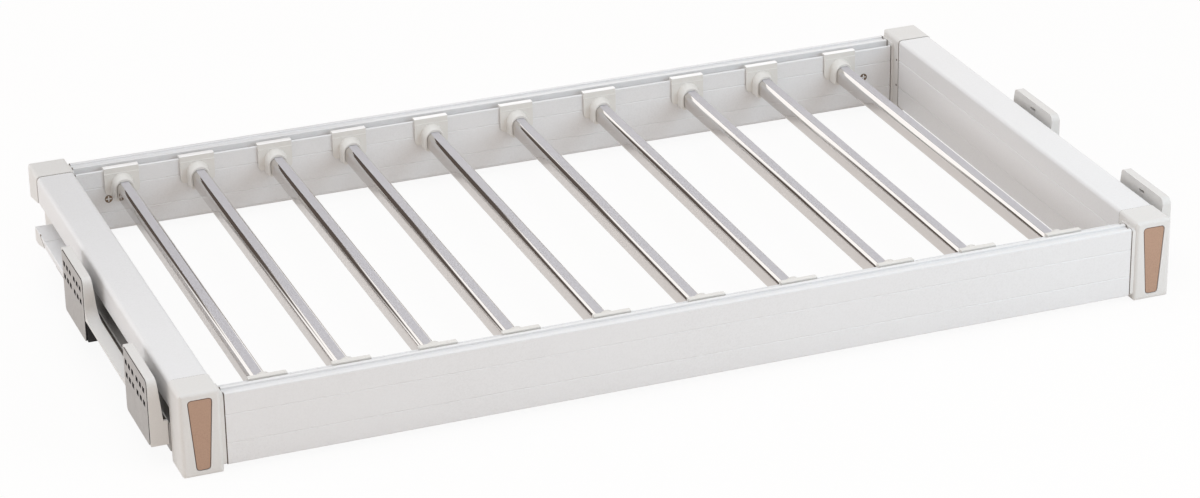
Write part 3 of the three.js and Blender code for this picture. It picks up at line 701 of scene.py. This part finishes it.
def seam_offset(centre):
    """How far a place is from the middle of the seam, towards the end of the cap."""
    return SEAM_NORMAL.dot(centre - SEAM_PLACE)


hooded, seamed = 0, 0
for side, out in SIDES.items():
    hooded += repaint(f"{side}_end_cap_soft", pearl_paint,
                      lambda centre, normal: normal.z > FACING_UP or seam_offset(centre) < -SEAM_HALF)
    # The seam band is painted dark brown as the shade in its crack.
    seamed += repaint(f"{side}_end_cap_soft", pin_brown_and_gap_shade,
                      lambda centre, normal: normal.x * out > FACING_OUT and abs(seam_offset(centre)) < SEAM_HALF)
print("faces painted as the hood:", hooded, "and as the seam:", seamed)

# %% [markdown]
# ## The bars
#
# A bar is a chromed oval tube with nearly flat sides and round shoulders. It starts as a block at the
# bar's size. Bevelling its four long edges, wide at the top and narrow at the bottom, gives the section.
# The ends are set in and pushed back to make the mouths of the tube.

# %% Model one bar
bar_low, bar_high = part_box("bar_01")
BAR_HEIGHT = 15 * MM
BAR_TOP = bar_low.z + BAR_HEIGHT
BAR_HALF = (bar_high.x - bar_low.x) / 2
BAR_SHOULDER = 5 * MM
BAR_KEEL = 2.5 * MM
BAR_WALL = 1 * MM
MOUTH_DEPTH = 6 * MM


def bar_block(from_y, to_y, gap):
    """A block with the section of a bar, grown by a gap on all its long sides."""
    low, top, width = bar_low.z - gap, BAR_TOP + gap, 2 * (BAR_HALF + gap)
    block = add_block((0, (from_y + to_y) / 2, (low + top) / 2), (width, to_y - from_y, top - low))
    enter_edit(block, "EDGE")
    round_edges_at(block, top, BAR_SHOULDER + gap, segments=8)
    round_edges_at(block, low, BAR_KEEL + gap, segments=5)
    leave_edit()
    return block


first_bar = bar_block(bar_low.y, bar_high.y, 0)
enter_edit(first_bar, "FACE")
pick_faces(first_bar, lambda centre, normal: abs(normal.y) > FACING)
bpy.ops.mesh.inset(thickness=BAR_WALL)
pick_faces(first_bar, lambda centre, normal: abs(normal.y) > FACING and abs(centre.x) < BAR_WALL / 2)
bpy.ops.mesh.extrude_region_shrink_fatten(TRANSFORM_OT_shrink_fatten={"value": -MOUTH_DEPTH})
leave_edit()
shade(first_bar)
print("bar:", triangles(first_bar), "triangles")

# %% [markdown]
# ## The non-slip strip
#
# A flat rubber strip is let into the top of each bar, so trousers don't slide off. Fine ribs run along
# it. A thin block is cut into lanes with bisect planes, and every other lane is raised by an extrusion.

# %% Model one strip
RIB_HEIGHT = 0.15 * MM
STRIP_WIDTH = 7.2 * MM
STRIP_CORNER = 0.3 * MM
STRIP_SHORTER = 1 * MM
STRIP_LANES = 13
STRIP_TOP = bar_high.z - RIB_HEIGHT
STRIP_FOOT = BAR_TOP - 0.8 * MM
LANE = (STRIP_WIDTH - 2 * STRIP_CORNER) / STRIP_LANES
first_strip = add_block((0, 0, (STRIP_FOOT + STRIP_TOP) / 2),
                        (STRIP_WIDTH, bar_high.y - bar_low.y - STRIP_SHORTER, STRIP_TOP - STRIP_FOOT))
enter_edit(first_strip, "EDGE")
round_edges_at(first_strip, STRIP_TOP, STRIP_CORNER, segments=2)
for cut in range(1, STRIP_LANES):
    bpy.ops.mesh.select_all(action="SELECT")
    bpy.ops.mesh.bisect(plane_co=((cut - STRIP_LANES / 2) * LANE, 0, 0), plane_no=(1, 0, 0))
bpy.ops.mesh.select_mode(type="FACE")


def is_raised_lane(centre, normal):
    number = math.floor(centre.x / LANE + STRIP_LANES / 2)
    return normal.z > FACING and number % 2 == 0


pick_faces(first_strip, is_raised_lane)
bpy.ops.mesh.extrude_region_shrink_fatten(TRANSFORM_OT_shrink_fatten={"value": RIB_HEIGHT})
leave_edit()
print("strip:", triangles(first_strip), "triangles")

# %% [markdown]
# ## The hangers
#
# A hanger clips over the inner lip of the rail. It starts as the plate that lies against the rail. Its
# upper part is extruded back over the lip and then down into the slot, like bending a strip of metal. The
# face of the plate steps back a little near its top.

# %% Model the hanger's clip
hanger_low, hanger_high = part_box("rear_hanger_01")
COLLAR_LENGTH = 9 * MM
PLATE_THICK = 1.9 * MM
PLATE_FACE = hanger_low.y + COLLAR_LENGTH
PLATE_BACK = PLATE_FACE + PLATE_THICK
PLATE_FOOT = 39 * MM
PLATE_CORNER = 4 * MM
HOOK_TOP = hanger_high.z
HOOK_UNDER = HOOK_TOP - PLATE_THICK
HOOK_INNER = hanger_high.y - 1.4 * MM
HOOK_DROP = 5.5 * MM
HOOK_CROWN = 0.9 * MM
STEP_TOP = HOOK_TOP - 5 * MM
STEP = 0.5 * MM


def hanger_clip():
    """The plate with its stepped face, and the hook that is extruded from the plate's top."""
    clip = add_block((0, (PLATE_FACE + PLATE_BACK) / 2, (PLATE_FOOT + HOOK_TOP) / 2),
                     (hanger_high.x - hanger_low.x, PLATE_BACK - PLATE_FACE, HOOK_TOP - PLATE_FOOT))
    enter_edit(clip, "FACE")
    for height in (HOOK_UNDER, STEP_TOP, STEP_TOP - STEP):
        bpy.ops.mesh.select_all(action="SELECT")
        bpy.ops.mesh.bisect(plane_co=(0, 0, height), plane_no=(0, 0, 1))
    pick_faces(clip, lambda centre, normal: normal.y > FACING and centre.z > HOOK_UNDER)
    bpy.ops.mesh.extrude_region_move(TRANSFORM_OT_translate={"value": (0, hanger_high.y - PLATE_BACK, 0)})
    bpy.ops.mesh.select_all(action="SELECT")
    bpy.ops.mesh.bisect(plane_co=(0, HOOK_INNER, 0), plane_no=(0, 1, 0))
    pick_faces(clip, lambda centre, normal: normal.z < -FACING and centre.y > HOOK_INNER)
    bpy.ops.mesh.extrude_region_move(TRANSFORM_OT_translate={"value": (0, 0, -HOOK_DROP)})
    pick_faces(clip, lambda centre, normal: normal.y < -FACING and centre.z > STEP_TOP)
    bpy.ops.transform.translate(value=(0, STEP, 0))
    bpy.ops.mesh.select_mode(type="EDGE")
    round_edges_at(clip, PLATE_FOOT, PLATE_CORNER, segments=5)
    pick_edges(clip, lambda a, b: same(a.z, HOOK_TOP) and same(b.z, HOOK_TOP) and same(a.y, b.y)
               and (same(a.y, PLATE_FACE + STEP) or same(a.y, hanger_high.y)))
    bpy.ops.mesh.bevel(offset=HOOK_CROWN, segments=4, affect="EDGES")
    leave_edit()
    return clip


print("clip:", round((HOOK_TOP - PLATE_FOOT) / MM, 1), "mm high")

# %% [markdown]
# ## The collar
#
# The collar that holds the bar is a second block. Its top is rounded to an arch, and its front end is drawn
# in to the rim, which is a little larger than the bar. A boolean joins it to the clip.

# %% Model the collar and join it
RIM_WALL = 1.5 * MM
RIM_HALF = BAR_HALF + RIM_WALL
RIM_FACE = hanger_low.y
BOSS_FOOT = bar_low.z - RIM_WALL
BOSS_TOP = 58 * MM
BOSS_HALF = 9.9 * MM
BOSS_BACK = PLATE_BACK - 1 * MM
BOSS_FLAT = 0.05 * MM    # what is left flat on the arch, on either side of its middle
BOSS_CORNER = 2.6 * MM


def join_collar(clip, rim_top):
    """Add a block with a round top that tapers from the plate to the rim at the bar."""
    boss = add_block((0, (RIM_FACE + BOSS_BACK) / 2, (BOSS_FOOT + BOSS_TOP) / 2),
                     (2 * BOSS_HALF, BOSS_BACK - RIM_FACE, BOSS_TOP - BOSS_FOOT))
    enter_edit(boss, "EDGE")
    round_edges_at(boss, BOSS_TOP, BOSS_HALF - BOSS_FLAT, segments=12)
    round_edges_at(boss, BOSS_FOOT, BOSS_CORNER, segments=5)
    bpy.ops.mesh.select_mode(type="VERT")
    mesh = bmesh.from_edit_mesh(boss.data)
    for corner in mesh.verts:
        corner.select_set(corner.co.y < (RIM_FACE + PLATE_FACE) / 2)
    bmesh.update_edit_mesh(boss.data)
    bpy.ops.transform.resize(
        value=(RIM_HALF / BOSS_HALF, 1, (rim_top - BOSS_FOOT) / (BOSS_TOP - BOSS_FOOT)),
        center_override=(0, RIM_FACE, BOSS_FOOT),
    )
    leave_edit()
    apply_modifier(clip, "BOOLEAN", operation="UNION", object=boss, solver="EXACT")
    bpy.data.objects.remove(boss)


print("collar:", round((BOSS_TOP - BOSS_FOOT) / MM, 1), "mm high")

# %% [markdown]
# ## The socket
#
# The bar plugs into the collar with a fine gap. The cutter is a short, slightly larger piece of bar, and a
# second one makes room for the strip. Both start before the rim, so that they cut right through it.

# %% Take out the socket
SOCKET_GAP = 0.12 * MM
SOCKET_START = RIM_FACE - 1 * MM
CLEAN_DISTANCE = 0.005 * MM


def cut_socket(clip):
    bar_cutter = bar_block(SOCKET_START, PLATE_FACE, SOCKET_GAP)
    strip_cutter = add_block((0, (SOCKET_START + PLATE_FACE) / 2, BAR_TOP),
                             (STRIP_WIDTH + 2 * SOCKET_GAP, PLATE_FACE - SOCKET_START,
                              2 * (bar_high.z - BAR_TOP + SOCKET_GAP)))
    for cutter in (bar_cutter, strip_cutter):
        apply_modifier(clip, "BOOLEAN", operation="DIFFERENCE", object=cutter, solver="EXACT")
        bpy.data.objects.remove(cutter)
    enter_edit(clip, "FACE")
    bpy.ops.mesh.select_all(action="SELECT")
    bpy.ops.mesh.remove_doubles(threshold=CLEAN_DISTANCE)
    bpy.ops.mesh.dissolve_limited(angle_limit=FLAT_ANGLE)
    leave_edit()


print("socket gap:", round(SOCKET_GAP / MM, 2), "mm")

# %% [markdown]
# ## Two hangers
#
# The rear collar is low. The front one rises a little more at its rim, as a stop for the clothes.

# %% Build the rear and the front hanger
REAR_RIM_TOP = bar_high.z + 2.5 * MM
FRONT_RIM_TOP = REAR_RIM_TOP + 4.8 * MM
HANGER_EDGE = 0.25 * MM
hangers = []
for rim_top in (REAR_RIM_TOP, FRONT_RIM_TOP):
    hanger = hanger_clip()
    join_collar(hanger, rim_top)
    cut_socket(hanger)
    soften(hanger, HANGER_EDGE)
    hangers.append(hanger)
    print("hanger:", triangles(hanger), "triangles")

# %% [markdown]
# ## Copies along the rails
#
# One bar, one strip and two hangers are enough. Each copy has a mesh of its own, moved to its place, and
# the front hangers are mirrored. A mirror turns a mesh inside out, so the normals are made to point
# outwards again. The crown of each rear hook is painted paler, as a painted highlight of the light from above.

# %% Place the bars, strips and hangers
def copied(piece, name, matrix):
    copy = bpy.data.objects.new(name, piece.data.copy())
    bpy.context.scene.collection.objects.link(copy)
    copy.data.transform(matrix)
    if matrix.determinant() < 0:
        enter_edit(copy, "FACE")
        bpy.ops.mesh.select_all(action="SELECT")
        bpy.ops.mesh.normals_make_consistent(inside=False)
        leave_edit()
    return copy


CROWN_UP = 0.3   # faces of the hook that point up at least this much belong to its crown
mirror = Matrix.Scale(-1, 4, (0, 1, 0))
for number in range(1, BAR_COUNT + 1):
    tag = f"{number:02d}"
    low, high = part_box(f"bar_{tag}")
    shift = Matrix.Translation(((low.x + high.x) / 2, 0, 0))
    body = f"hanging_bar_{tag}"
    dress(copied(first_bar, "bar", shift), f"chrome_bar_{tag}", chrome, body, [f"bar_{tag}"])
    dress(copied(first_strip, "strip", shift), f"strip_{tag}", grey_rubber, body)
    dress(copied(hangers[0], "hanger", shift), f"rear_clip_{tag}", hanger_moulding, body,
          [f"rear_hanger_{tag}"])
    dress(copied(hangers[1], "hanger", shift @ mirror), f"front_clip_{tag}", hanger_moulding, body,
          [f"front_hanger_{tag}"])
    # The crown's upward faces get the paler colour, as a painted highlight.
    repaint(f"rear_clip_{tag}", crown_painted_highlight,
            lambda centre, normal: normal.z > CROWN_UP and centre.z > STEP_TOP and centre.y > PLATE_FACE)
for pattern in (first_bar, first_strip, *hangers):
    bpy.data.objects.remove(pattern)
print("bars placed:", BAR_COUNT)

# %% [markdown]
# ## The tan inlays
#
# A small trapezoid pad decorates each front block. The imported node has its outline. A copy gets a soft
# edge, so that it looks like a pressed-in pad. Its rim is painted darker than its face, as painted shade of
# the recess round the pad.

# %% Inlays
INLAY_EDGE = 0.45 * MM
INLAY_FACE = -0.95   # the flat face points to the front, and everything else is rim
inlays = [
    softened_node(f"front_{side}_inlay", INLAY_EDGE, tan_satin, "rack") for side in SIDES
]
for side in SIDES:
    # Every face but the flat front is painted as the recess's shade.
    repaint(f"front_{side}_inlay_soft", inlay_rim_shade, lambda centre, normal: normal.y > INLAY_FACE)
print("inlays:", len(inlays))

# %% [markdown]
# ## The slides
#
# The slides hide behind the runners and show only from below and when the rack is out. Their nodes have
# the right shape, so they keep it and get the bright zinc finish.

# %% Finish the slides
for side in SIDES:
    for member in ("cabinet", "middle", "rack"):
        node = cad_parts[f"{side}_{member}_slide"]
        node.data.materials.clear()
        node.data.materials.append(bright_zinc)
print("slide members finished")

# %% [markdown]
# ## Inside the towers
#
# Each hollow tower holds the adjuster that lifts or lowers the rack. Through the slots of the steel plate
# only a dark block shows, so a plain one stands behind each plate.

# %% Adjusters behind the plates
ADJUSTER_THICK = 3 * MM
ADJUSTER_HEIGHT = 24 * MM
ADJUSTER_NARROWER = 6 * MM
ADJUSTER_BEHIND = 1.9 * MM
ADJUSTER_BELOW = 15 * MM
ADJUSTER_EDGE = 0.3 * MM
for side, out in SIDES.items():
    for place in ("front", "rear"):
        low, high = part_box(f"{side}_{place}_plate")
        plate_inner = high.x if out < 0 else low.x
        adjuster = add_block(
            (plate_inner - out * ADJUSTER_BEHIND, (low.y + high.y) / 2, high.z - ADJUSTER_BELOW),
            (ADJUSTER_THICK, high.y - low.y - ADJUSTER_NARROWER, ADJUSTER_HEIGHT))
        soften(adjuster, ADJUSTER_EDGE)
        dress(adjuster, f"{side}_{place}_adjuster", black_and_edge_shade, RUNNERS)
        print("adjuster behind:", f"{side}_{place}_plate")

# %% [markdown]
# ## Screws in the rear rail
#
# A countersunk screw holds each end of the rear rail to the tongue of its corner block. It is a flat
# disc with a rounded rim, and two crossed blocks cut its recess. The head stands out of the rail's face by
# less than half a millimetre.

# %% Screws
SCREW_X, SCREW_Z = 353.4, 35
SCREW_RADIUS = 3.4 * MM
SCREW_SUNK = 0.1 * MM     # how far the middle of the head lies behind the rail's face
HEAD_DEPTH = 1 * MM
RECESS_DEPTH = 1.2 * MM
ARM_NARROW, ARM_LONG = 0.35, 1.5   # shares of the radius
HARDWARE_EDGE = 0.15 * MM


def cross_screw(name, place, radius):
    """A screw head that faces the front, with a cross recess."""
    head = add_disc(place, radius, HEAD_DEPTH, sides=32, turn=(QUARTER_TURN, 0, 0))
    for width, height in ((ARM_NARROW, ARM_LONG), (ARM_LONG, ARM_NARROW)):
        arm = add_block(place - Vector((0, HEAD_DEPTH / 2, 0)), (width * radius, RECESS_DEPTH, height * radius))
        apply_modifier(head, "BOOLEAN", operation="DIFFERENCE", object=arm, solver="EXACT")
        bpy.data.objects.remove(arm)
    soften(head, HARDWARE_EDGE)
    return dress(head, name, screw_steel, "rack")


rail_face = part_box("rear_rail")[0].y
for side, out in SIDES.items():
    place = mm(out * SCREW_X, 0, SCREW_Z) + Vector((0, rail_face + SCREW_SUNK, 0))
    cross_screw(f"{side}_rail_screw", place, SCREW_RADIUS)
    print("screw at:", [round(v, 4) for v in place])

# %% [markdown]
# ## Pins in the rear blocks
#
# Two small pins hold each rear block to the side rail. Their round heads show as dark dots on the inner
# side of the block.

# %% Pins
PIN_X, PIN_Y = 383.6, 209.6
PIN_HEIGHTS = (25.1, 49.6)
PIN_RADIUS = 1 * MM
PIN_DEPTH = 0.5 * MM
for side, out in SIDES.items():
    for height in PIN_HEIGHTS:
        place = mm(out * PIN_X, PIN_Y, height)
        pin = add_disc(place, PIN_RADIUS, PIN_DEPTH, sides=20, turn=(0, QUARTER_TURN, 0))
        soften(pin, HARDWARE_EDGE)
        dress(pin, f"{side}_pin_{int(height)}", pin_brown_and_gap_shade, "rack")
        print("pin:", pin.name)

# %% [markdown]
# ## The floor
#
# The picture is a product shot on plain white. The floor glows to the camera, so it looks white and still
# keeps a faint shadow. Mirrors see a part of that glow. The paint under it is warm, and so is the light that
# it throws up at the undersides.

# %% Floor
FLOOR_SIZE = 40
FLOOR_LEVEL = -0.3 * MM
FLOOR_COLOR = (0.89, 0.838, 0.795, 1)
WHITE = (1, 1, 1, 1)
GLOW_TO_CAMERA = 0.92
GLOW_IN_MIRRORS = 0.35
bpy.ops.object.select_all(action="DESELECT")
bpy.ops.mesh.primitive_plane_add(size=FLOOR_SIZE, location=(0, 0, FLOOR_LEVEL))
floor = bpy.context.object
floor.name = "floor"
floor_material = bpy.data.materials.new("white_floor")
floor_tree, floor_end = start_tree(floor_material, "ShaderNodeOutputMaterial")
floor_paint = add_node(floor_tree, "ShaderNodeBsdfDiffuse", Color=FLOOR_COLOR)
floor_glow = add_node(floor_tree, "ShaderNodeEmission", Color=WHITE, Strength=1.0)
floor_light = floor_tree.nodes.new("ShaderNodeLightPath")
floor_seen = add_math(floor_tree, "MULTIPLY", None, GLOW_TO_CAMERA)
floor_mirrored = add_math(floor_tree, "MULTIPLY_ADD", None, GLOW_IN_MIRRORS)
connect(floor_light.outputs["Is Camera Ray"], floor_seen.inputs[0])
connect(floor_light.outputs["Is Glossy Ray"], floor_mirrored.inputs[0])
connect(floor_seen.outputs["Value"], floor_mirrored.inputs[2])
floor_mix = mix_shaders(floor_tree, floor_mirrored.outputs["Value"],
                        floor_paint.outputs["BSDF"], floor_glow.outputs["Emission"])
connect(floor_mix, floor_end.inputs["Surface"])
floor.data.materials.append(floor_material)
print("stage piece:", floor.name)

# %% [markdown]
# ## The sky that mirrors see
#
# A reflection that looks towards the camera's side meets bands of different brightness: bright near the
# ground, dark at middle height, as a studio is beyond its lamps, and bright again above. The bands shade the
# round edges of the metal. Towards the back there is only a bright wall.

# %% World in reflections
# Each band is a height and a brightness.
BANDS = [(0.0, 1.25), (0.13, 1.25), (0.19, 0.14), (0.42, 0.14), (0.48, 1.55), (0.75, 1.2)]
BRIGHT_WARMTH = 0.97
DARK_WARMTH = 0.82
BACK_WALL = (1.4, 1.39, 1.37, 1)
BANDS_END, WALL_START = -0.5, 0.2
world = bpy.data.worlds.new("studio")
bpy.context.scene.world = world
sky, sky_end = start_tree(world, "ShaderNodeOutputWorld")
sky_place = sky.nodes.new("ShaderNodeTexCoord")
sky_axes = sky.nodes.new("ShaderNodeSeparateXYZ")
sky_band = sky.nodes.new("ShaderNodeValToRGB")
sky_band.color_ramp.interpolation = "EASE"
while len(sky_band.color_ramp.elements) < len(BANDS):
    sky_band.color_ramp.elements.new(0.5)
for element, (place, level) in zip(sky_band.color_ramp.elements, BANDS):
    element.position = place
    warmth = BRIGHT_WARMTH if level > 1 else DARK_WARMTH
    element.color = (level, level * (1 + warmth) / 2, level * warmth, 1)
sky_side = add_node(sky, "ShaderNodeMapRange", From_Min=BANDS_END, From_Max=WALL_START)
sky_both = sky.nodes.new("ShaderNodeMix")
sky_both.data_type = "RGBA"
sky_both.inputs["B"].default_value = BACK_WALL
connect(sky_place.outputs["Generated"], sky_axes.inputs["Vector"])
connect(sky_axes.outputs["Z"], sky_band.inputs["Fac"])
connect(sky_axes.outputs["Y"], sky_side.inputs["Value"])
connect(sky_side.outputs["Result"], sky_both.inputs["Factor"])
connect(sky_band.outputs["Color"], sky_both.inputs["A"])
print("bands:", len(BANDS))

# %% [markdown]
# ## One world, three skies
#
# The camera sees plain white. Mirrors see the bands. All other light from the sky is an even, warm fill,
# which reaches the sides that the cool lamps leave in the shade.

# %% World
FILL_COLOR = (1, 0.90, 0.83, 1)
FILL_STRENGTH = 0.70
sky_plain = add_node(sky, "ShaderNodeBackground", Color=FILL_COLOR, Strength=FILL_STRENGTH)
sky_seen = add_node(sky, "ShaderNodeBackground", Color=WHITE, Strength=1.0)
sky_mirror = add_node(sky, "ShaderNodeBackground", Strength=1.0)
sky_light = sky.nodes.new("ShaderNodeLightPath")
sky_clear = add_math(sky, "MAXIMUM")
connect(sky_both.outputs["Result"], sky_mirror.inputs["Color"])
connect(sky_light.outputs["Is Camera Ray"], sky_clear.inputs[0])
connect(sky_light.outputs["Is Transmission Ray"], sky_clear.inputs[1])
sky_lit = mix_shaders(sky, sky_light.outputs["Is Glossy Ray"],
                      sky_plain.outputs["Background"], sky_mirror.outputs["Background"])
sky_all = mix_shaders(sky, sky_clear.outputs["Value"], sky_lit, sky_seen.outputs["Background"])
connect(sky_all, sky_end.inputs["Surface"])
print("world:", world.name)

# %% [markdown]
# ## A dark flag for the mirrors
#
# The bars run away from the camera, so their chrome mirrors what stands behind the rack. A dark panel there
# draws the dark line that the photograph shows along each bar. Only reflections see it, and it fades out
# towards its rim, so that the line has soft ends.

# %% Dark flag
FLAG_PLACE = (-0.295, 0.5, 0.21)
FLAG_HALVES = (0.30, 0.15, 1)
FLAG_COLOR = (1, 0.82, 0.72, 1)
FLAG_STRENGTH = 0.13
FADE_START = 0.75
bpy.ops.object.select_all(action="DESELECT")
bpy.ops.mesh.primitive_plane_add(size=2, location=FLAG_PLACE, rotation=(QUARTER_TURN, 0, 0))
flag = bpy.context.object
flag.name = "flag"
flag.scale = FLAG_HALVES
flag.visible_camera = False
flag.visible_diffuse = False
flag.visible_transmission = False
flag.visible_shadow = False
flag_material = bpy.data.materials.new("dark_flag")
flag_tree, flag_end = start_tree(flag_material, "ShaderNodeOutputMaterial")
flag_face = add_node(flag_tree, "ShaderNodeEmission", Color=FLAG_COLOR, Strength=FLAG_STRENGTH)
flag_clear = flag_tree.nodes.new("ShaderNodeBsdfTransparent")
flag_place = flag_tree.nodes.new("ShaderNodeTexCoord")
flag_axes = flag_tree.nodes.new("ShaderNodeSeparateXYZ")
flag_out = add_math(flag_tree, "MAXIMUM")
connect(flag_place.outputs["Object"], flag_axes.inputs["Vector"])
for axis in (0, 1):
    flag_size = add_math(flag_tree, "ABSOLUTE")
    flag_fade = add_node(flag_tree, "ShaderNodeMapRange", From_Min=FADE_START, From_Max=1.0)
    connect(flag_axes.outputs[axis], flag_size.inputs[0])
    connect(flag_size.outputs["Value"], flag_fade.inputs["Value"])
    connect(flag_fade.outputs["Result"], flag_out.inputs[axis])
flag_mix = mix_shaders(flag_tree, flag_out.outputs["Value"],
                       flag_face.outputs["Emission"], flag_clear.outputs["BSDF"])
connect(flag_mix, flag_end.inputs["Surface"])
flag.data.materials.append(flag_material)
print("stage piece:", flag.name)

# %% [markdown]
# ## The lamps
#
# Three large discs of cool light stand against the warm fill: one above, one at the front right and one
# at the left. The front one is hidden from reflections, since seen from behind its glare would turn the tops
# of the rails plain white.

# %% Lamps
def soft_lamp(name, place, aim, size, power, color):
    data = bpy.data.lights.new(name, "AREA")
    data.shape = "DISK"
    data.size = size
    data.energy = power
    data.color = color
    lamp = bpy.data.objects.new(name, data)
    bpy.context.scene.collection.objects.link(lamp)
    lamp.location = place
    lamp.rotation_euler = (Vector(aim) - Vector(place)).to_track_quat("-Z", "Y").to_euler()
    print("lamp:", name)
    return lamp


soft_lamp("top_lamp", place=(-0.45, 0.05, 2.6), aim=(0, 0, 0), size=3.0, power=24, color=(0.70, 0.86, 1.0))
front_lamp = soft_lamp("front_lamp", place=(1.2, -1.5, 0.85), aim=(0.1, 0, 0), size=1.2, power=15.6,
                       color=(0.68, 0.86, 1.0))
front_lamp.visible_glossy = False
soft_lamp("left_lamp", place=(-3.0, 0.6, 1.2), aim=(0, 0, 0), size=1.8, power=22.4, color=(0.82, 0.91, 1.0))
